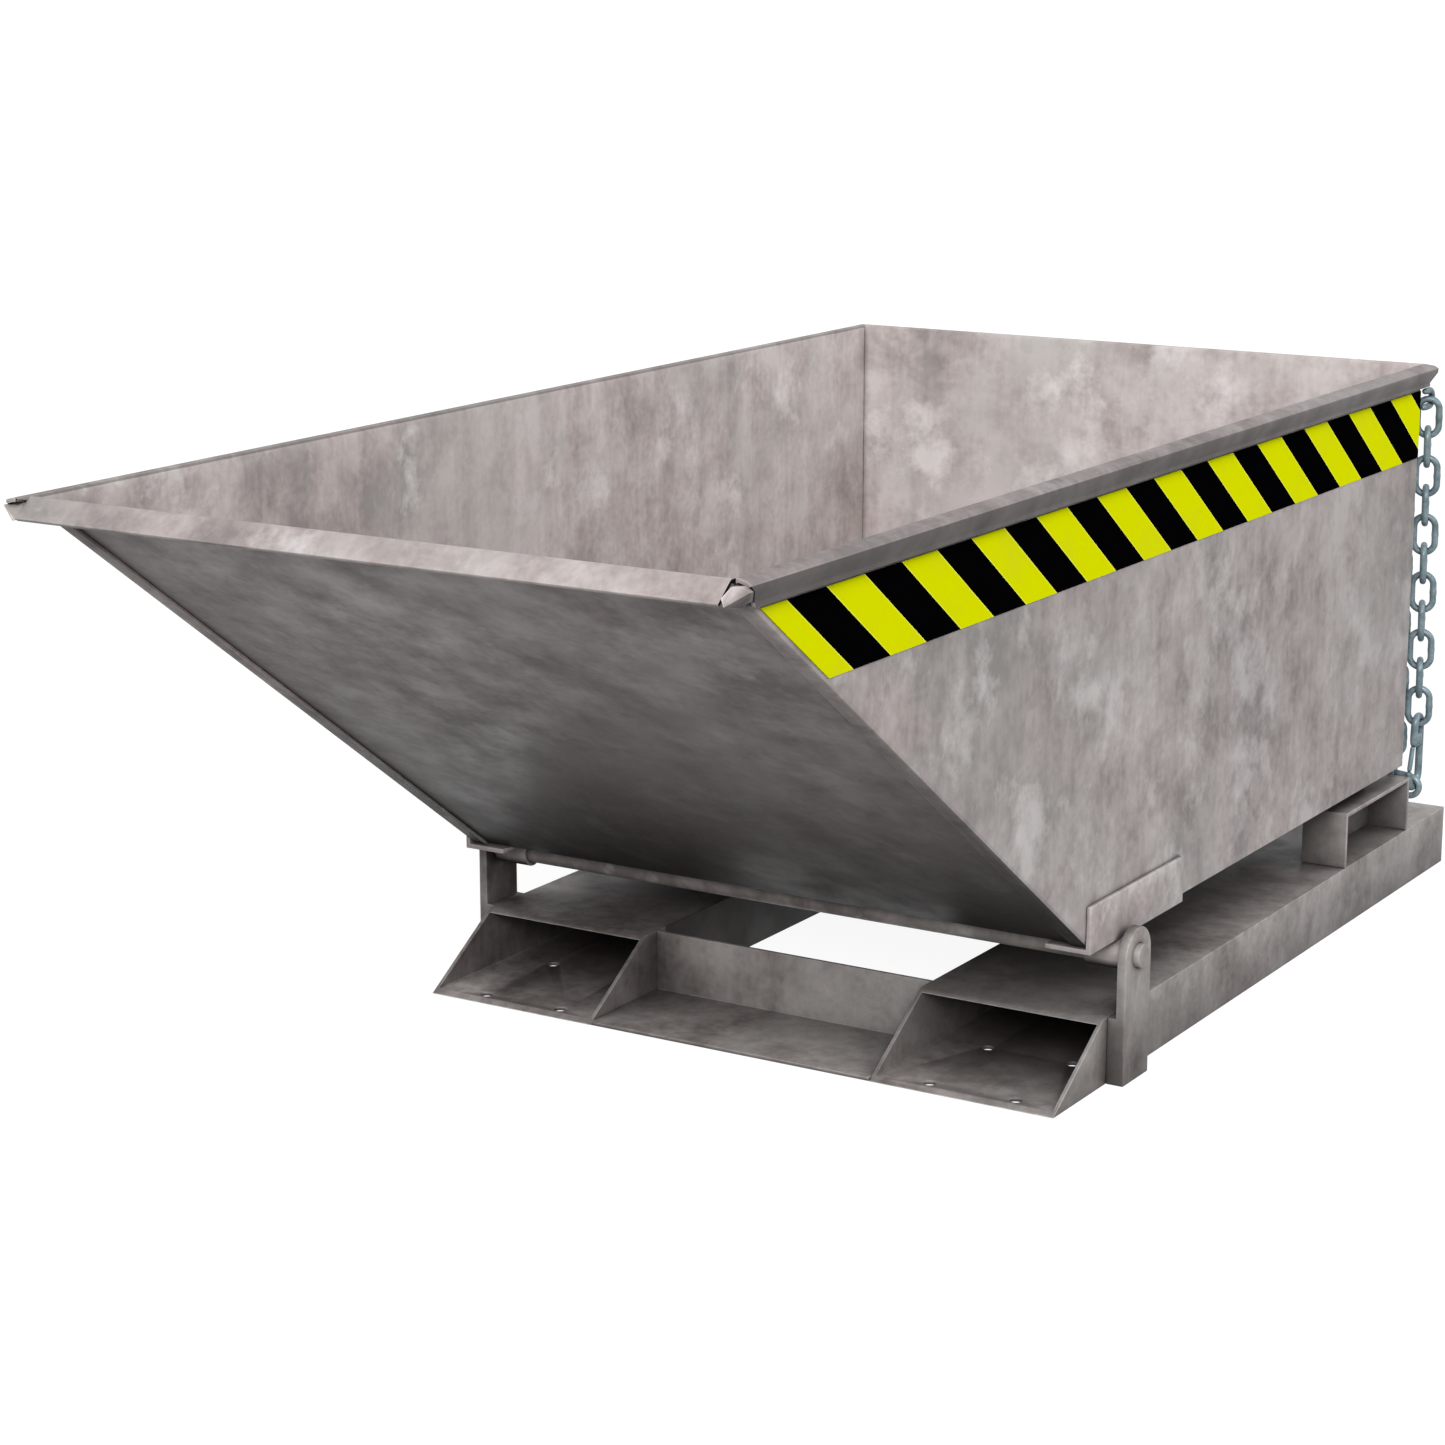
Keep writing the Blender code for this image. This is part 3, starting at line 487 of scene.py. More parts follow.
@dataclass(frozen=True)
class RawSteel:
    """Mottled mill-finish sheet: clouds of grey and mauve, faint streaks, worn edges with painted highlights,
    and painted shade in seams and beneath.
    """

    name: str
    dark: Colour = (0.235, 0.205, 0.200)
    middle: Colour = (0.378, 0.325, 0.316)
    light: Colour = (0.500, 0.455, 0.444)
    green_grey: Colour = (0.330, 0.330, 0.312)
    pale: Colour = (0.700, 0.665, 0.655)
    # The worn edges' colour, which is also a painted highlight along every edge.
    worn_edge_and_highlight: Colour = (0.80, 0.77, 0.76)
    stops: tuple[float, float, float] = (0.41, 0.50, 0.59)
    clouds: Noise = Noise(2.6, 3.0, 0.50, 0.2)
    cloud_share: float = 0.30
    blotches: Noise = Noise(15.0, 7.0, 0.60, 0.1)
    blotch_share: float = 0.36
    streaks: Noise = Noise(1.0, 6.0, 0.66, 0.1)
    streak_share: float = 0.24
    streak_scale: tuple[float, float, float] = (30.0, 30.0, 4.0)
    streak_turn: tuple[float, float, float] = (0.35, 0.12, 0.0)
    grain: Noise = Noise(120.0, 5.0, 0.60)
    grain_share: float = 0.10
    # The colour's value shifts over Y and Z: painted light towards the rear, painted shade towards the front
    # and the bottom.
    rearward: Span = (-0.70, 0.85)
    rearward_light_gain: Span = (-0.022, 0.034)
    upward: Span = (0.12, 0.42)
    upward_shade_gain: Span = (-0.045, 0.0)
    green_patches: Patches = Patches(Noise(4.42, 4.0, 0.60, 0.2), 0.48, 0.60, 0.35)
    pale_patches: Patches = Patches(Noise(9.0, 6.0, 0.66, 0.1), 0.56, 0.68, 0.60)
    dark_specks: Patches = Patches(Noise(480.0, 2.0, 0.50), 0.66, 0.74, 0.20)
    edge_radius: float = 0.0016
    edge_gain: float = 4.0
    edge_share: float = 0.62
    edge_wear_and_highlight: Patches = Patches(Noise(60.0, 4.0, 0.60), 0.38, 0.60, 1.0, 0.45)
    shades: tuple[Shade, ...] = (UndersideShade(), CreviceShade())
    metallic: float = 0.05
    specular: float = 0.22
    gloss_levels: Span = (0.35, 0.65)
    roughness: Span = (0.59, 0.41)
    bump_height: float = 0.0006
    bump_strength: float = 0.22

    def build(self) -> Material:
        """Build the material: the mottled colour, then patches, worn edges with painted highlights, and layers
        of painted shade over it.
        """
        s = ShaderTree(self.name, self.metallic, self.specular)
        blotches, grain, place = s.noise(self.blotches), s.noise(self.grain), s.axes()
        streaks = s.noise(self.streaks, s.stretched(self.streak_scale, self.streak_turn))
        value = s.total(
            s.product(s.noise(self.clouds), self.cloud_share), s.product(blotches, self.blotch_share),
            s.product(streaks, self.streak_share), s.product(grain, self.grain_share),
            # Painted light towards the rear, painted shade towards the front and the bottom.
            s.span(place["Y"], *self.rearward, *self.rearward_light_gain),
            s.span(place["Z"], *self.upward, *self.upward_shade_gain),
        )
        colour = s.ramp(value, self.stops, (self.dark, self.middle, self.light))
        for patches, over in ((self.green_patches, self.green_grey), (self.pale_patches, self.pale),
                              (self.dark_specks, self.dark)):
            colour = s.mix(s.patches(patches), colour, over)
        # Worn edges, lightened also as a painted highlight along every edge.
        edges = s.product(s.edge_mask(self.edge_radius, self.edge_gain), self.edge_share)
        colour = s.mix(s.product(edges, s.patches(self.edge_wear_and_highlight)), colour, self.worn_edge_and_highlight)
        for shade in self.shades:
            colour = shade.lay(s, colour)
        roughness = s.span(blotches, *self.gloss_levels, *self.roughness)
        height = s.product(s.total(blotches, grain), 0.5)
        return s.finish(colour, roughness, height, self.bump_height, self.bump_strength)


@dataclass(frozen=True)
class HazardVinyl:
    """Yellow tape with slanted black stripes that follow the skip's sloping front."""

    name: str
    period: float
    slope: float
    start: float
    yellow: Colour = (0.690, 0.735, 0.000)
    bright_edge: Colour = (0.900, 0.920, 0.120)
    black: Colour = (0.0010, 0.0010, 0.0014)
    grime: Colour = (0.45, 0.44, 0.05)
    grime_patches: Patches = Patches(Noise(11.0, 6.0, 0.65, 0.3), 0.50, 0.78, 0.22)
    yellow_part: float = 0.5
    edge_part: float = 0.012
    edge_share: float = 0.7
    roughness: Patches = Patches(Noise(60.0), 0.3, 0.7, 0.48, 0.34)
    weave: Noise = Noise(240.0, 3.0)
    metallic: float = 0.0
    specular: float = 0.0
    bump_height: float = 0.0002
    bump_strength: float = 0.12

    def build(self) -> Material:
        """Build the material."""
        s = ShaderTree(self.name, self.metallic, self.specular)
        place = s.axes()
        along = s.total(s.product(place["Z"], 1.0 / math.tan(self.slope)), place["Y"])
        phase = s.math("DIVIDE", s.math("SUBTRACT", along, self.start), self.period)
        phase = s.math("FLOORED_MODULO", phase, 1.0)
        black = s.above(phase, self.yellow_part)
        yellow = s.mix(s.patches(self.grime_patches), self.yellow, self.grime)
        middle = self.yellow_part / 2
        from_middle = s.math("ABSOLUTE", s.math("SUBTRACT", phase, middle))
        near_edge = s.above(from_middle, middle - self.edge_part)
        yellow = s.mix(s.product(near_edge, self.edge_share), yellow, self.bright_edge)
        return s.finish(s.mix(black, yellow, self.black), s.patches(self.roughness), s.noise(self.weave),
                        self.bump_height, self.bump_strength)


@dataclass(frozen=True)
class ZincPlate:
    """Blue-grey galvanised steel with a faint spangle, and painted shade where links bear on one another."""

    name: str
    dark: Colour = (0.070, 0.108, 0.124)
    light: Colour = (0.200, 0.262, 0.288)
    stops: Span = (0.30, 0.66)
    # Painted shade where links bear on one another.
    seam_shade: CreviceShade = CreviceShade((0.020, 0.026, 0.030), 0.85, 0.008)
    spangle: float = 260.0
    spangle_share: float = 0.14
    clouds: Noise = Noise(60.0, 5.0)
    gloss_levels: Span = (0.3, 0.7)
    roughness: Span = (0.46, 0.28)
    grain: Noise = Noise(420.0, 3.0)
    metallic: float = 0.15
    specular: float = 0.30
    bump_height: float = 0.0002
    bump_strength: float = 0.3

    def build(self) -> Material:
        """Build the material."""
        s = ShaderTree(self.name, self.metallic, self.specular)
        cells = s.add("ShaderNodeTexVoronoi", {"Vector": s.place, "Scale": self.spangle})
        flake = s.add("ShaderNodeRGBToBW", {"Color": cells.outputs["Color"]})
        value = s.total(s.product(flake.outputs["Val"], self.spangle_share),
                        s.product(s.noise(self.clouds), 1.0 - self.spangle_share))
        colour = self.seam_shade.lay(s, s.ramp(value, self.stops, (self.dark, self.light)))
        roughness = s.span(value, *self.gloss_levels, *self.roughness)
        return s.finish(colour, roughness, s.noise(self.grain), self.bump_height, self.bump_strength)


# Mesh helpers


def mesh_object(name: str, bm: Mesh, smooth_degrees: float = 30.0) -> Piece:
    """Turn a bmesh into an object at the origin.

    Args:
        name: The object's name.
        bm: The mesh, which is freed.
        smooth_degrees: Edges sharper than this stay sharp.

    Returns:
        The object.
    """
    mesh = bpy.data.meshes.new(name)
    bm.to_mesh(mesh)
    bm.free()
    made = bpy.data.objects.new(name, mesh)
    bpy.context.scene.collection.objects.link(made)
    smooth(made, smooth_degrees)
    return made


def smooth(made: Piece, degrees: float) -> None:
    """Shade smooth, but keep edges sharper than an angle."""
    made.data.shade_smooth()
    made.data.set_sharp_from_angle(angle=math.radians(degrees))


def bake(made: Piece, smooth_degrees: float | None = None) -> Piece:
    """Turn an object's modifiers or curve into a plain mesh object of the same name.

    Args:
        made: The object, which is removed.
        smooth_degrees: Edges sharper than this stay sharp; None leaves the shading as it is.

    Returns:
        The plain mesh object.
    """
    bpy.context.view_layer.update()
    name = made.name
    mesh = bpy.data.meshes.new_from_object(made.evaluated_get(bpy.context.evaluated_depsgraph_get()))
    bpy.data.objects.remove(made)
    plain = bpy.data.objects.new(name, mesh)
    mesh.name = name
    bpy.context.scene.collection.objects.link(plain)
    if smooth_degrees is not None:
        smooth(plain, smooth_degrees)
    return plain


def round_edges(made: Piece, radius: float, segments: int = 2) -> Piece:
    """Round an object's sharp edges for good.

    Args:
        made: The object.
        radius: The edges' radius.
        segments: Strips to a rounding.

    Returns:
        The plain object.
    """
    bevel = made.modifiers.new("rounded_edges", "BEVEL")
    bevel.width = radius
    bevel.segments = segments
    bevel.limit_method = "ANGLE"
    bevel.angle_limit = ROUND_FROM
    bevel.use_clamp_overlap = True
    return bake(made, FINE_SMOOTH_DEGREES)


def join_flats(bm: Mesh) -> None:
    """Make one face of each flat."""
    bmesh.ops.dissolve_limit(bm, angle_limit=FLAT_WITHIN, verts=bm.verts, edges=bm.edges)


def solid_mesh(node: str) -> Mesh:
    """A CAD node's mesh with its corners joined."""
    bm = bmesh.new()
    bm.from_mesh(frame["nodes"][node].data)
    bmesh.ops.remove_doubles(bm, verts=bm.verts, dist=MERGE_DISTANCE)
    return bm


def body_of(node: str) -> str:
    """The body that a CAD node is in."""
    for body, members in frame["record"]["behaviour"]["bodies"].items():
        if node in members:
            return body
    raise ValueError(node)


def frame_shift() -> float:
    """How far the skip's own Y places, measured from the toe of the pockets, lie from the origin."""
    low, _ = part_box("fork_pocket_right")
    return low.y


def dress(piece: Piece, material: Material, body: str, names: Sequence[str]) -> None:
    """Give a piece its material and its body, and let it stand for CAD nodes.

    Args:
        piece: The piece.
        material: Its material.
        body: The body that it rides on.
        names: The nodes that it stands for.
    """
    piece.data.materials.clear()
    piece.data.materials.append(material)
    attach(piece, body)
    if names:
        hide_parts(*names)
    LOG.info("%s on %s: %d faces", piece.name, body, len(piece.data.polygons))


def rounded_plate(
    node: str,
    radius: float,
    material: Material,
    trim: Callable[[Vector], None] | None = None,
) -> None:
    """Put a plate with rounded edges in a CAD plate's place.

    Args:
        node: The CAD node.
        radius: The edges' radius.
        material: Its material.
        trim: What moves the corners of a cut, one place at a time.
    """
    bm = solid_mesh(node)
    if trim:
        for vertex in bm.verts:
            trim(vertex.co)
    join_flats(bm)
    dress(round_edges(mesh_object(node + "_plate", bm), radius), material, body_of(node), [node])


@dataclass(frozen=True)
class RoundWire:
    """How a CAD wire with six flats becomes a round one.

    shrink_share is how much of its radius the subdivided wire loses, and swells by again.
    """

    join_degrees: float = 25.0
    any_shape_degrees: float = 180.0
    smooth_degrees: float = 60.0
    subdivisions: int = 2
    shrink_share: float = 1 / 6

    def build(self, node: str, wire: float, material: Material) -> None:
        """Put a round wire in a CAD wire's place.

        Args:
            node: The CAD node.
            wire: The wire's diameter.
            material: Its material.
        """
        bm = solid_mesh(node)
        bmesh.ops.join_triangles(bm, faces=bm.faces, angle_face_threshold=math.radians(self.join_degrees),
                                 angle_shape_threshold=math.radians(self.any_shape_degrees))
        made = mesh_object(node + "_wire", bm, self.any_shape_degrees)
        finer = made.modifiers.new("round", "SUBSURF")
        finer.levels = finer.render_levels = self.subdivisions
        piece = bake(made, self.smooth_degrees)
        outward = [vertex.normal.copy() for vertex in piece.data.vertices]
        swell = wire / 2 * self.shrink_share
        for vertex, normal in zip(piece.data.vertices, outward):
            vertex.co += normal * swell
        dress(piece, material, body_of(node), [node])


# Sub-assemblies


@dataclass
class SteelWork:
    """All folded and cut plates of the base and the hopper."""

    edge_radius: float = 0.0007
    base_nodes: tuple[str, ...] = (
        "fork_pocket_right", "fork_pocket_left", "front_tray", "rear_tray",
        "rear_support_right", "rear_support_left", "rest_pad_right", "rest_pad_left",
    )
    hopper_nodes: tuple[str, ...] = ("rear_sheet", "hinge_angle_right", "hinge_angle_left")
    side_nodes: tuple[str, ...] = ("side_sheet_right", "side_sheet_left")
    rim_front: float = -0.6000
    leg_front_top: float = -0.5965
    leg_front_bottom: float = -0.5845
    leg_top: float = 0.6365
    leg_bottom: float = 0.6229
    rim_floor: float = 0.6150
    rim_inside: float = 0.3765
    lip_end: float = 0.3768
    lip_inside: float = 0.3650
    lip_back: float = -0.5980
    lip_floor: float = 0.6200
    # Darker than the hopper's steel, as painted shade on the base that lies low under the hopper, with painted
    # shade underneath, in long-reach hollows, between the pockets and in seams.
    base_steel: RawSteel = RawSteel(
        "base_steel", dark=(0.110, 0.094, 0.088), middle=(0.228, 0.200, 0.190), light=(0.350, 0.316, 0.304),
        pale=(0.440, 0.405, 0.392), upward_shade_gain=(0.0, 0.0),
        shades=(UndersideShade(), CreviceShade((0.014, 0.011, 0.010), 0.96, 0.20, (0.15, 0.88)), ShadeBetweenPockets(),
                CreviceShade()))
    # The hopper's steel, with painted shade underneath, in seams and on the lip's cut ends.
    hopper_steel: RawSteel = RawSteel(
        "hopper_steel", shades=(UndersideShade(), CreviceShade(reach=0.012), LipEndShade()))
    # The sides' own copy of the hopper's steel, with painted shade on the rolled rim and in its recess.
    side_steel: RawSteel = RawSteel(
        "hopper_side_steel", shades=(UndersideShade(), RimShade(), CreviceShade(), RollShade()))

    def build(self) -> tuple[Material, Material]:
        """Round and dress every plate.

        Returns:
            The base's and the hopper's steel.
        """
        base, hopper = self.base_steel.build(), self.hopper_steel.build()
        sides = self.side_steel.build()
        for nodes, steel, trim in ((self.base_nodes, base, None), (self.hopper_nodes, hopper, None),
                                   (self.side_nodes, sides, self.trim_rim),
                                   (["floor_sheet"], hopper, self.trim_lip)):
            for node in nodes:
                rounded_plate(node, self.edge_radius, steel, trim)
        return base, hopper

    def trim_rim(self, place: Vector) -> None:
        """Cut the right rolled rim's front end square, its leg a little farther back the lower it is.

        Args:
            place: A corner of the side sheet, which is moved.
        """
        if place.x < self.rim_inside or place.z < self.rim_floor:
            return
        front = self.rim_front
        if place.z < self.leg_top:
            low = min(1.0, (self.leg_top - place.z) / (self.leg_top - self.leg_bottom))
            front = self.leg_front_top + (self.leg_front_bottom - self.leg_front_top) * low
        place.y = max(place.y, front + frame_shift())

    def trim_lip(self, place: Vector) -> None:
        """Let the lip run out to the rim's corner.

        Args:
            place: A corner of the floor sheet, which is moved.
        """
        ahead = place.y < self.lip_back + frame_shift()
        if ahead and abs(place.x) > self.lip_inside and place.z > self.lip_floor:
            place.x = math.copysign(self.lip_end, place.x)


@dataclass
class RimCorners:
    """The plugs that close the two front corners between the lip and the rolled rims."""

    right_outline: tuple[Corner, ...] = (
        (0.3781, -0.6220, 0.6322), (0.3818, -0.6120, 0.6403), (0.3897, -0.6080, 0.6404),
        (0.3935, -0.6020, 0.6349), (0.3865, -0.5920, 0.6243), (0.3838, -0.6060, 0.6215),
        (0.3805, -0.6220, 0.6248),
    )
    right_facets: tuple[tuple[int, ...], ...] = ((0, 1, 2, 3, 6), (3, 4, 5, 6))
    left_outline: tuple[Corner, ...] = (
        (-0.3766, -0.6244, 0.6264), (-0.3805, -0.6240, 0.6248), (-0.3950, -0.6192, 0.6378),
        (-0.3778, -0.6080, 0.6400),
    )
    left_facets: tuple[tuple[int, ...], ...] = ((0, 1, 2, 3),)
    depth: float = 0.006
    edge_radius: float = 0.0004
    smooth_degrees: float = 10.0
    # The plugs' steel, with painted shade over every face that looks down.
    steel: RawSteel = RawSteel(
        "plug_steel", light=(0.62, 0.59, 0.58),
        shades=(UndersideShade(share=1.0, low=0.66, high=0.70), CreviceShade()))

    def build(self) -> None:
        """Build both plugs."""
        steel = self.steel.build()
        for side, outline, facets in ((Side.RIGHT, self.right_outline, self.right_facets),
                                      (Side.LEFT, self.left_outline, self.left_facets)):
            bm = bmesh.new()
            front = [bm.verts.new((x, y + frame_shift(), z)) for x, y, z in outline]
            back = [bm.verts.new(vertex.co + Vector((0.0, self.depth, 0.0))) for vertex in front]
            for ring in (front, back):
                for facet in facets:
                    bm.faces.new([ring[k] for k in facet])
            skin(bm, front, back)
            bmesh.ops.recalc_face_normals(bm, faces=bm.faces)
            node = f"rim_corner_filler_{side.word}"
            piece = round_edges(mesh_object(node + "_plug", bm, self.smooth_degrees), self.edge_radius)
            dress(piece, steel, "hopper", [node])


@dataclass
class HazardBands:
    """The striped bands along the top of both sides."""

    period: float = 0.1311
    slope_degrees: float = 35.3
    first_yellow_y: float = -0.5862
    first_yellow_z: float = 0.6140

    def build(self) -> None:
        """Dress both bands' nodes."""
        slope = math.radians(self.slope_degrees)
        start = self.first_yellow_y + frame_shift() + self.first_yellow_z / math.tan(slope)
        vinyl = HazardVinyl("hazard_vinyl", self.period, slope, start).build()
        for side in Side:
            node = frame["nodes"][f"hazard_band_{side.word}"]
            node.data.materials.clear()
            node.data.materials.append(vinyl)
            LOG.info("%s dressed", node.name)


def skin(bm: Mesh, near: Sequence[bmesh.types.BMVert], far: Sequence[bmesh.types.BMVert]) -> None:
    """Join two closed rows of corners by a band of faces.

    Args:
        bm: The mesh.
        near: One row.
        far: The other row, with as many corners.
    """
    for k in range(len(near)):
        j = (k + 1) % len(near)
        bm.faces.new((near[k], near[j], far[j], far[k]))


def add_block(bm: Mesh, middle: Sequence[float], size: Sequence[float]) -> None:
    """Add a block to a mesh."""
    bmesh.ops.create_cube(bm, size=1.0, matrix=Matrix.LocRotScale(Vector(middle), None, Vector(size)))


def circle(centre: Vector, radius: float, steps: int) -> list[tuple[float, float]]:
    """The Y and Z places of a circle's points about an axis along X, from its rear over its top.

    Args:
        centre: A point on the axis.
        radius: The radius.
        steps: How many points.

    Returns:
        The places.
    """
    angles = [2 * math.pi * k / steps for k in range(steps)]
    return [(centre.y + radius * math.cos(a), centre.z + radius * math.sin(a)) for a in angles]


@dataclass
class Pivot:
    """The axle, the ears that hold it and the sleeves that turn on it."""

    ear_steps: int = 40
    sides: int = 64
    bore_play: float = 0.0004
    edge_radius: float = 0.0010
    # The axle's steel, with a little painted shade in its seams.
    axle_steel: RawSteel = RawSteel(
        "axle_steel", dark=(0.160, 0.140, 0.134), middle=(0.270, 0.240, 0.230), light=(0.390, 0.355, 0.343),
        shades=(CreviceShade(share=0.3),))

    def ring(self, inner: float, outer: float, ends: Span, centre: Vector) -> Mesh:
        """A turned ring or, with no inner radius, a plain bar along X.

        Args:
            inner: The bore's radius, or 0.
            outer: The outside radius.
            ends: The X places of its ends.
            centre: A point on the axis.

        Returns:
            The mesh.
        """
        bm = bmesh.new()
        start, end = ends
        corners = [(start, outer), (end, outer)] + ([(end, inner), (start, inner)] if inner else [])
        rows = [[bm.verts.new((x, y, z)) for y, z in circle(centre, radius, self.sides)]
                for x, radius in corners]
        if inner:
            rows.append(rows[0])
        else:
            for row in rows:
                bm.faces.new(row)
        for low, high in zip(rows, rows[1:]):
            skin(bm, low, high)
        bmesh.ops.recalc_face_normals(bm, faces=bm.faces)
        return bm

    def ear(self, side: Side) -> Mesh:
        """An upright ear with a round top and its bore.

        Args:
            side: The ear's side.

        Returns:
            The mesh.
        """
        low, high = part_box(f"pivot_ear_{side.word}")
        axle_low, axle_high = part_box("axle")
        centre = (axle_low + axle_high) / 2
        bore = (axle_high.z - axle_low.z) / 2 + self.bore_play
        top = circle(centre, (high.y - low.y) / 2, 2 * self.ear_steps)[:self.ear_steps + 1]
        outlines = (top + [(low.y, low.z), (high.y, low.z)], circle(centre, bore, 2 * self.ear_steps))
        bm = bmesh.new()
        faces = []
        for x in (low.x, high.x):
            rows = [[bm.verts.new((x, y, z)) for y, z in outline] for outline in outlines]
            edges = [bm.edges.new(pair) for row in rows for pair in zip(row, row[1:] + row[:1])]
            bmesh.ops.triangle_fill(bm, use_beauty=True, edges=edges)
            faces.append(rows)
        for near, far in zip(*faces):
            skin(bm, near, far)
        bmesh.ops.recalc_face_normals(bm, faces=bm.faces)
        join_flats(bm)
        return bm

    def weld_packing(self, ear: Piece, side: Side) -> None:
        """Join the packing plate to the ear, as its ground weld does.

        Args:
            ear: The ear's object, which keeps the union.
            side: The ear's side.
        """
        low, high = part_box(f"ear_packing_{side.word}")
        ear_low, ear_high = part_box(f"pivot_ear_{side.word}")
        near, far = (low.x, ear_low.x) if side is Side.RIGHT else (ear_high.x, high.x)
        sink = side.value * self.edge_radius
        block = bmesh.new()
        add_block(block, ((near + far + sink) / 2, (low.y + high.y) / 2, (low.z + high.z) / 2),
                  (far - near + self.edge_radius, high.y - low.y, high.z - low.z))
        packing = mesh_object(f"packing_block_{side.word}", block)
        union = ear.modifiers.new("ground_weld", "BOOLEAN")
        union.operation = "UNION"
        union.solver = "EXACT"
        union.object = packing
        bpy.context.view_layer.update()
        joined = bmesh.new()
        joined.from_object(ear, bpy.context.evaluated_depsgraph_get())
        bmesh.ops.remove_doubles(joined, verts=joined.verts, dist=MERGE_DISTANCE)
        join_flats(joined)
        ear.modifiers.clear()
        joined.to_mesh(ear.data)
        joined.free()
        bpy.data.objects.remove(packing)

    def build(self, base_steel: Material, hopper_steel: Material) -> None:
        """Build the pivot's pieces.

        Args:
            base_steel: The base's steel.
            hopper_steel: The hopper's steel.
        """
        low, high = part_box("axle")
        centre, radius = (low + high) / 2, (high.z - low.z) / 2
        bar = mesh_object("axle_bar", self.ring(0.0, radius, (low.x, high.x), centre))
        bar = round_edges(bar, self.edge_radius)
        dress(bar, self.axle_steel.build(), "base_frame", ["axle"])
        for side in Side:
            ear = mesh_object(f"pivot_ear_{side.word}_plate", self.ear(side))
            self.weld_packing(ear, side)
            dress(round_edges(ear, self.edge_radius), base_steel, "base_frame",
                  [f"pivot_ear_{side.word}", f"ear_packing_{side.word}"])
            node = f"hinge_sleeve_{side.word}"
            low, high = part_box(node)
            sleeve = self.ring(radius + self.bore_play, (high.z - low.z) / 2, (low.x, high.x), centre)
            piece = round_edges(mesh_object(node + "_tube", sleeve), self.edge_radius)
            dress(piece, hopper_steel, "hopper", [node])


class NodeTree(Wiring):
    """A Geometry Nodes tree with named inputs."""

    def __init__(self, name: str, inputs: dict[str, str]) -> None:
        """Start a tree.

        Args:
            name: The tree's name.
            inputs: Each input's name, with its socket type's last word.
        """
        super().__init__(bpy.data.node_groups.new(name, "GeometryNodeTree"))
        sockets = self.tree.interface
        self.ids = {}
        for label, kind in inputs.items():
            made = sockets.new_socket(label, in_out="INPUT", socket_type="NodeSocket" + kind)
            self.ids[label] = made.identifier
        sockets.new_socket("Geometry", in_out="OUTPUT", socket_type="NodeSocketGeometry")
        self.inputs = self.tree.nodes.new("NodeGroupInput").outputs

    def along_z(self, amount: Socket) -> Socket:
        """A vector with that Z, for a shift along the strand or a turn about it."""
        return self.add("ShaderNodeCombineXYZ", {"Z": amount}).outputs[0]

    def close(self, geometry: Socket, material: Socket) -> None:
        """End the tree: what it made as real geometry with its material."""
        real = self.add("GeometryNodeRealizeInstances", {"Geometry": geometry})
        done = self.add("GeometryNodeSetMaterial", {"Geometry": real.outputs[0], "Material": material})
        self.add("NodeGroupOutput", {0: done.outputs[0]})

    def grow(self, name: str, values: dict[str, object]) -> Piece:
        """Run the tree once and keep its result as a plain mesh.

        Args:
            name: The object's name.
            values: The inputs' values.

        Returns:
            The object.
        """
        made = bpy.data.objects.new(name, bpy.data.meshes.new(name))
        bpy.context.scene.collection.objects.link(made)
        modifier = made.modifiers.new(self.tree.name, "NODES")
        modifier.node_group = self.tree
        for label, value in values.items():
            modifier[self.ids[label]] = value
        return bake(made)


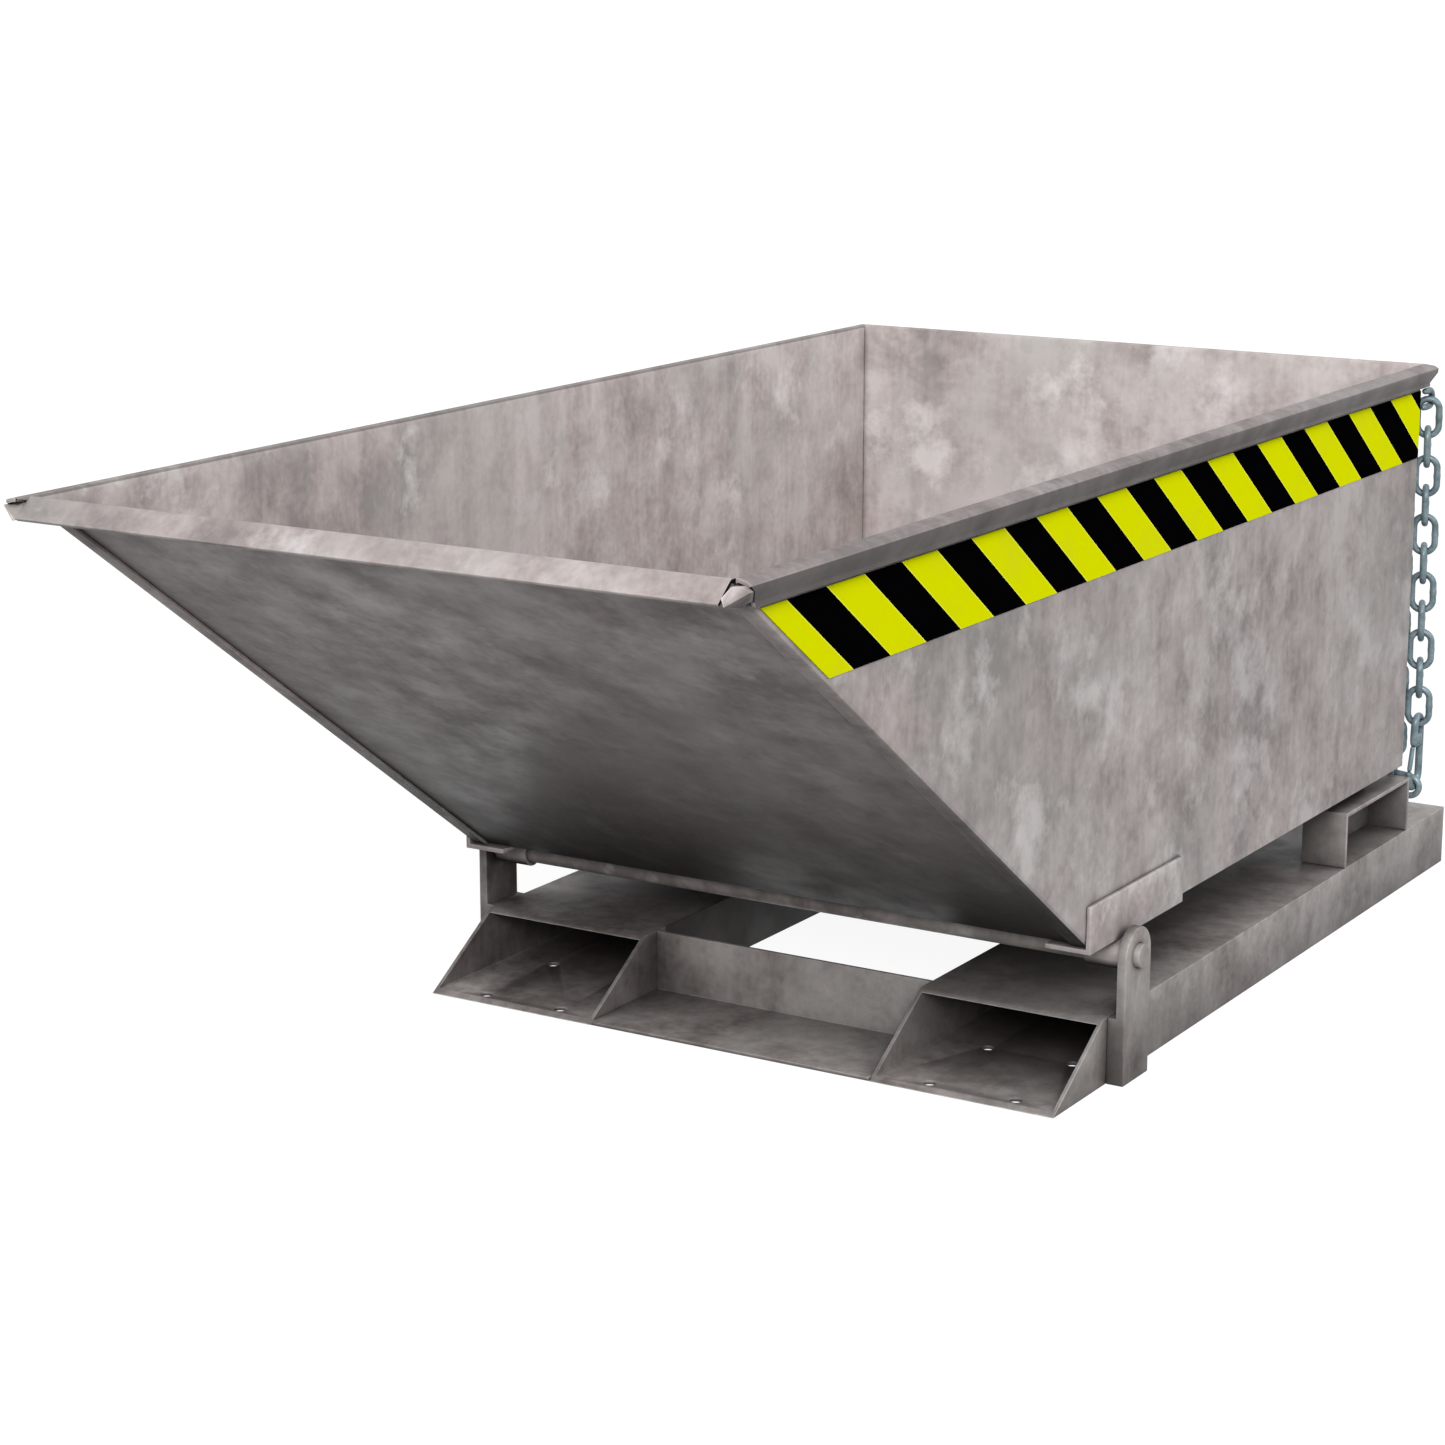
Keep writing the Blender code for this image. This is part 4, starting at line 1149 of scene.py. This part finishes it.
@dataclass
class SafetyChain:
    """Two strands of welded links, the eye and staple that hold them, and the end link."""

    wire: float = 0.008
    width: float = 0.033
    length: float = 0.052
    long_link_extra: float = 0.0143
    play: float = 0.0003
    hooked_twist_degrees: float = 17.5
    loose_twist_degrees: float = 10.0
    lean_degrees: float = 2.5
    eye_wire: float = 0.008
    staple_wire: float = 0.006
    hooked_links: int = 11
    loose_links: int = 13
    points: int = 96
    point_turn: float = 0.013
    wire_sides: int = 16
    weld_swell: float = 0.10
    weld_length: float = 0.005
    zinc: ZincPlate = ZincPlate("galvanised_chain")

    @property
    def pitch(self) -> float:
        """From link to link."""
        return self.length - 2 * self.wire - self.play

    @property
    def bar(self) -> float:
        """Between the middles of a link's end bars."""
        return self.length - self.wire

    def strand_tree(self) -> NodeTree:
        """The tree that makes a strand: one link, repeated down a line and turned by quarters."""
        t = NodeTree("chain_strand", {"Links": "Int", "Bar": "Float", "Twist": "Float", "First Turn": "Int",
                                      "Top": "Vector", "Material": "Material"})
        i = t.inputs
        half_width = (self.width - self.wire) / 2
        ring, profile = (
            t.add("GeometryNodeCurvePrimitiveCircle", {"Resolution": count, "Radius": radius}).outputs["Curve"]
            for count, radius in ((self.points, half_width), (self.wire_sides, self.wire / 2)))
        upright = t.add("GeometryNodeTransform", {0: ring, "Rotation": (QUARTER_TURN, 0.0, self.point_turn)})
        place = t.add("GeometryNodeInputPosition").outputs[0]
        height = t.add("ShaderNodeSeparateXYZ", {0: place}).outputs["Z"]
        rise = t.math("SUBTRACT", t.product(i["Bar"], 0.5), half_width)
        shift = t.along_z(t.product(t.math("SIGN", height), rise))
        long = t.add("GeometryNodeSetPosition", {0: upright.outputs[0], "Offset": shift})
        even = t.add("GeometryNodeResampleCurve", {"Curve": long.outputs[0], "Count": self.points})
        split = t.add("ShaderNodeSeparateXYZ", {0: t.add("GeometryNodeInputPosition").outputs[0]})
        near = t.add("ShaderNodeMapRange", {
            "Value": t.math("ABSOLUTE", split.outputs["Z"]), "From Min": 0.0, "From Max": self.weld_length,
            "To Min": self.weld_swell, "To Max": 0.0}, interpolation_type="SMOOTHSTEP")
        right = t.above(split.outputs["X"], 0.0)
        swell = t.total(1.0, t.product(near.outputs[0], right))
        link = t.add("GeometryNodeCurveToMesh", {
            "Curve": even.outputs[0], "Profile Curve": profile, "Scale": swell})
        line = t.add("GeometryNodeMeshLine", {
            "Count": i["Links"], "Offset": (0.0, 0.0, -self.pitch),
            "Start Location": t.along_z(t.product(i["Bar"], -0.5))})
        index = t.add("GeometryNodeInputIndex").outputs[0]
        odd = t.math("MODULO", t.total(index, i["First Turn"]), 2.0)
        spin = t.along_z(t.total(i["Twist"], t.product(odd, QUARTER_TURN)))
        many = t.add("GeometryNodeInstanceOnPoints", {
            "Points": line.outputs[0], "Instance": link.outputs[0], "Rotation": spin})
        hung = t.add("GeometryNodeTransform", {
            0: many.outputs[0], "Rotation": (math.radians(self.lean_degrees), 0.0, 0.0),
            "Translation": i["Top"]})
        soft = t.add("GeometryNodeSetShadeSmooth", {0: hung.outputs[0]})
        t.close(soft.outputs[0], i["Material"])
        return t

    def strand(self, tree: NodeTree, name: str, numbers: range, turned: int, extra: float,
               twist_degrees: float, zinc: Material) -> None:
        """Grow a row of links in place of the same CAD links.

        Args:
            tree: The strand's tree.
            name: What its links are called.
            numbers: The numbers of its links.
            turned: Quarter turns of the first one.
            extra: How much longer than the usual the links are.
            twist_degrees: How far the strand is twisted.
            zinc: The material.
        """
        nodes = [f"{name}_link_{k:02d}" for k in numbers]
        low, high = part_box(nodes[0])
        lean = Matrix.Rotation(math.radians(self.lean_degrees), 4, "X")
        bar = self.bar + extra
        top = (low + high) / 2 + lean @ Vector((0.0, 0.0, bar / 2))
        piece = tree.grow(f"{name}_from_{numbers[0]:02d}", {
            "Links": len(nodes), "Bar": bar, "Twist": math.radians(twist_degrees), "First Turn": turned,
            "Top": tuple(top), "Material": zinc,
        })
        dress(piece, zinc, "safety_chain", nodes)

    def build(self) -> Material:
        """Build both strands.

        Returns:
            The chain's zinc finish, for the hook.
        """
        zinc, tree, twist = self.zinc.build(), self.strand_tree(), self.loose_twist_degrees
        self.strand(tree, "hooked_strand", range(1, self.hooked_links + 1), 0, 0.0, self.hooked_twist_degrees,
                    zinc)
        self.strand(tree, "loose_strand", range(1, 2), 1, self.long_link_extra, twist, zinc)
        self.strand(tree, "loose_strand", range(2, self.loose_links + 1), 0, 0.0, twist, zinc)
        for node, wire in (("chain_eye", self.eye_wire), ("chain_staple", self.staple_wire),
                           ("hooked_end_link", self.wire)):
            RoundWire().build(node, wire, zinc)
        return zinc


@dataclass
class SnapHook:
    """The snap hook: a bent body, its pressed neck with two rivets, and the gate."""

    body_wire: float = 0.009
    gate_wire: float = 0.006
    eye_radius: float = 0.010
    neck_top: float = 0.0225
    neck_bottom: float = 0.0385
    neck_thickness: float = 0.0078
    neck_edge: float = 0.0022
    neck_segments: int = 3
    rivet_radius: float = 0.0014
    rivet_height: float = 0.0005
    rivet_sides: int = 20
    seat_play: float = 0.0008
    lean_degrees: float = 2.9

    def own_frame(self, chain: SafetyChain) -> Matrix:
        """The hook's own frame: its top at the origin, its plane across X.

        Args:
            chain: The chain that carries the hook.

        Returns:
            The frame.
        """
        low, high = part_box("hooked_strand_link_01")
        lean = Matrix.Rotation(math.radians(chain.lean_degrees), 4, "X")
        seat = (chain.wire + self.body_wire) / 2 + self.seat_play
        drop = seat - (chain.hooked_links - 1) * chain.pitch - chain.bar / 2
        own = Matrix.Rotation(math.radians(self.lean_degrees), 4, "Y") @ Matrix.Rotation(QUARTER_TURN, 4, "Z")
        return Matrix.Translation((low + high) / 2) @ lean @ Matrix.Translation((0.0, 0.0, drop)) @ own

    def neck(self, place: Matrix) -> Mesh:
        """The pressed neck between the body's legs, with the heads of two rivets on both faces.

        Args:
            place: The hook's frame.

        Returns:
            The mesh.
        """
        bm = bmesh.new()
        middle = -(self.neck_top + self.neck_bottom) / 2
        height = self.neck_bottom - self.neck_top
        width, thickness = 2 * self.eye_radius + self.neck_edge, self.neck_thickness
        add_block(bm, (self.neck_edge, 0.0, middle), (width, thickness, height))
        bmesh.ops.bevel(bm, geom=list(bm.edges), offset=self.neck_edge, segments=self.neck_segments,
                        affect="EDGES", profile=0.5)
        across = Matrix.Rotation(QUARTER_TURN, 4, "X")
        for level in (middle - height / 4, middle + height / 4):
            bmesh.ops.create_cone(bm, cap_ends=True, segments=self.rivet_sides, radius1=self.rivet_radius,
                                  radius2=self.rivet_radius, depth=thickness + 2 * self.rivet_height,
                                  matrix=Matrix.Translation((self.neck_edge, 0.0, level)) @ across)
        bmesh.ops.transform(bm, matrix=place, verts=bm.verts)
        return bm

    def build(self, chain: SafetyChain, zinc: Material) -> None:
        """Build the hook.

        Args:
            chain: The chain that carries it.
            zinc: The chain's finish.
        """
        for node, wire in (("snap_hook_body", self.body_wire), ("snap_hook_gate", self.gate_wire)):
            RoundWire().build(node, wire, zinc)
        neck = mesh_object("snap_hook_neck", self.neck(self.own_frame(chain)), FINE_SMOOTH_DEGREES)
        dress(neck, zinc, body_of("snap_hook_body"), [])


# Stage


@dataclass(frozen=True)
class Lamp:
    """An even soft light: where it comes from, its watts to the square metre and how wide it is."""

    name: str
    comes_from: tuple[float, float, float]
    strength: float
    degrees: float

    def build(self) -> None:
        """Place the lamp."""
        data = bpy.data.lights.new(self.name, "SUN")
        data.energy = self.strength
        data.angle = math.radians(self.degrees)
        made = bpy.data.objects.new(self.name, data)
        made.rotation_euler = Vector(self.comes_from).to_track_quat("Z", "Y").to_euler()
        bpy.context.scene.collection.objects.link(made)


@dataclass
class Studio:
    """A pale floor, soft lamps and the camera at the photograph's angle."""

    camera_place: tuple[float, float, float] = (1.7666, -2.8689, 1.1622)
    camera_ahead: tuple[float, float, float] = (-0.5108, 0.8277, -0.2326)
    camera_lens: float = 84.1
    camera_film: float = 36.0
    floor_size: float = 90.0
    floor_drop: float = 0.0005
    floor_colour: Colour = (0.15, 0.15, 0.15)
    floor_glow: float = 0.92
    world_colour: Colour = (1.0, 1.0, 1.0)
    world_strength: float = 0.45
    lamps: tuple[Lamp, ...] = (
        Lamp("key", (0.40, -0.79, 0.46), 3.0, 26.0), Lamp("side", (0.84, 0.10, 0.53), 1.00, 40.0))

    def camera(self) -> None:
        """Place the camera."""
        data = bpy.data.cameras.new("camera")
        data.lens = self.camera_lens
        data.sensor_width = self.camera_film
        made = bpy.data.objects.new("camera", data)
        ahead = Vector(self.camera_ahead).normalized()
        right = ahead.cross(Vector((0.0, 0.0, 1.0))).normalized()
        turn = Matrix((right, right.cross(ahead), -ahead)).transposed()
        place = Vector(self.camera_place) + Vector((0.0, frame_shift(), 0.0))
        made.matrix_world = Matrix.Translation(place) @ turn.to_4x4()
        bpy.context.scene.collection.objects.link(made)
        bpy.context.scene.camera = made

    def floor(self) -> None:
        """Lay the floor: pale, white to the camera where no shadow falls."""
        bm = bmesh.new()
        bmesh.ops.create_grid(bm, x_segments=1, y_segments=1, size=self.floor_size / 2)
        bmesh.ops.translate(bm, verts=bm.verts, vec=(0.0, 0.0, -self.floor_drop))
        floor = mesh_object("floor", bm)
        material = bpy.data.materials.new("pale_floor")
        material.use_nodes = True
        wiring = Wiring(material.node_tree)
        wiring.tree.nodes.clear()
        diffuse = wiring.add("ShaderNodeBsdfDiffuse", {"Color": (*self.floor_colour, 1.0)})
        glow = wiring.add("ShaderNodeEmission", {"Strength": wiring.product(wiring.seen(), self.floor_glow)})
        both = wiring.add("ShaderNodeAddShader", {0: diffuse.outputs[0], 1: glow.outputs[0]})
        wiring.add("ShaderNodeOutputMaterial", {"Surface": both.outputs[0]})
        floor.data.materials.append(material)

    def world(self) -> None:
        """A white surround to the camera and in reflections, and a soft grey one for light."""
        world = bpy.data.worlds.new("studio")
        bpy.context.scene.world = world
        world.use_nodes = True
        wiring = Wiring(world.node_tree)
        strength = wiring.add("ShaderNodeMapRange", {
            "Value": wiring.seen(), "To Min": self.world_strength, "To Max": 1.0})
        background = wiring.tree.nodes["Background"].inputs
        wiring.feed(background["Color"], (*self.world_colour, 1.0))
        wiring.feed(background["Strength"], strength.outputs["Result"])

    def build(self) -> None:
        """Set the stage."""
        self.camera()
        self.floor()
        self.world()
        for lamp in self.lamps:
            lamp.build()
        bpy.context.scene.view_settings.view_transform = "Standard"


def main() -> None:
    """Build the stage and every sub-assembly in order."""
    logging.basicConfig(level=logging.INFO, format="%(name)s: %(message)s")
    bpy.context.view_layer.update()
    Studio().build()
    base_steel, hopper_steel = SteelWork().build()
    RimCorners().build()
    HazardBands().build()
    Pivot().build(base_steel, hopper_steel)
    chain = SafetyChain()
    SnapHook().build(chain, chain.build())


if __name__ == "__main__":
    main()
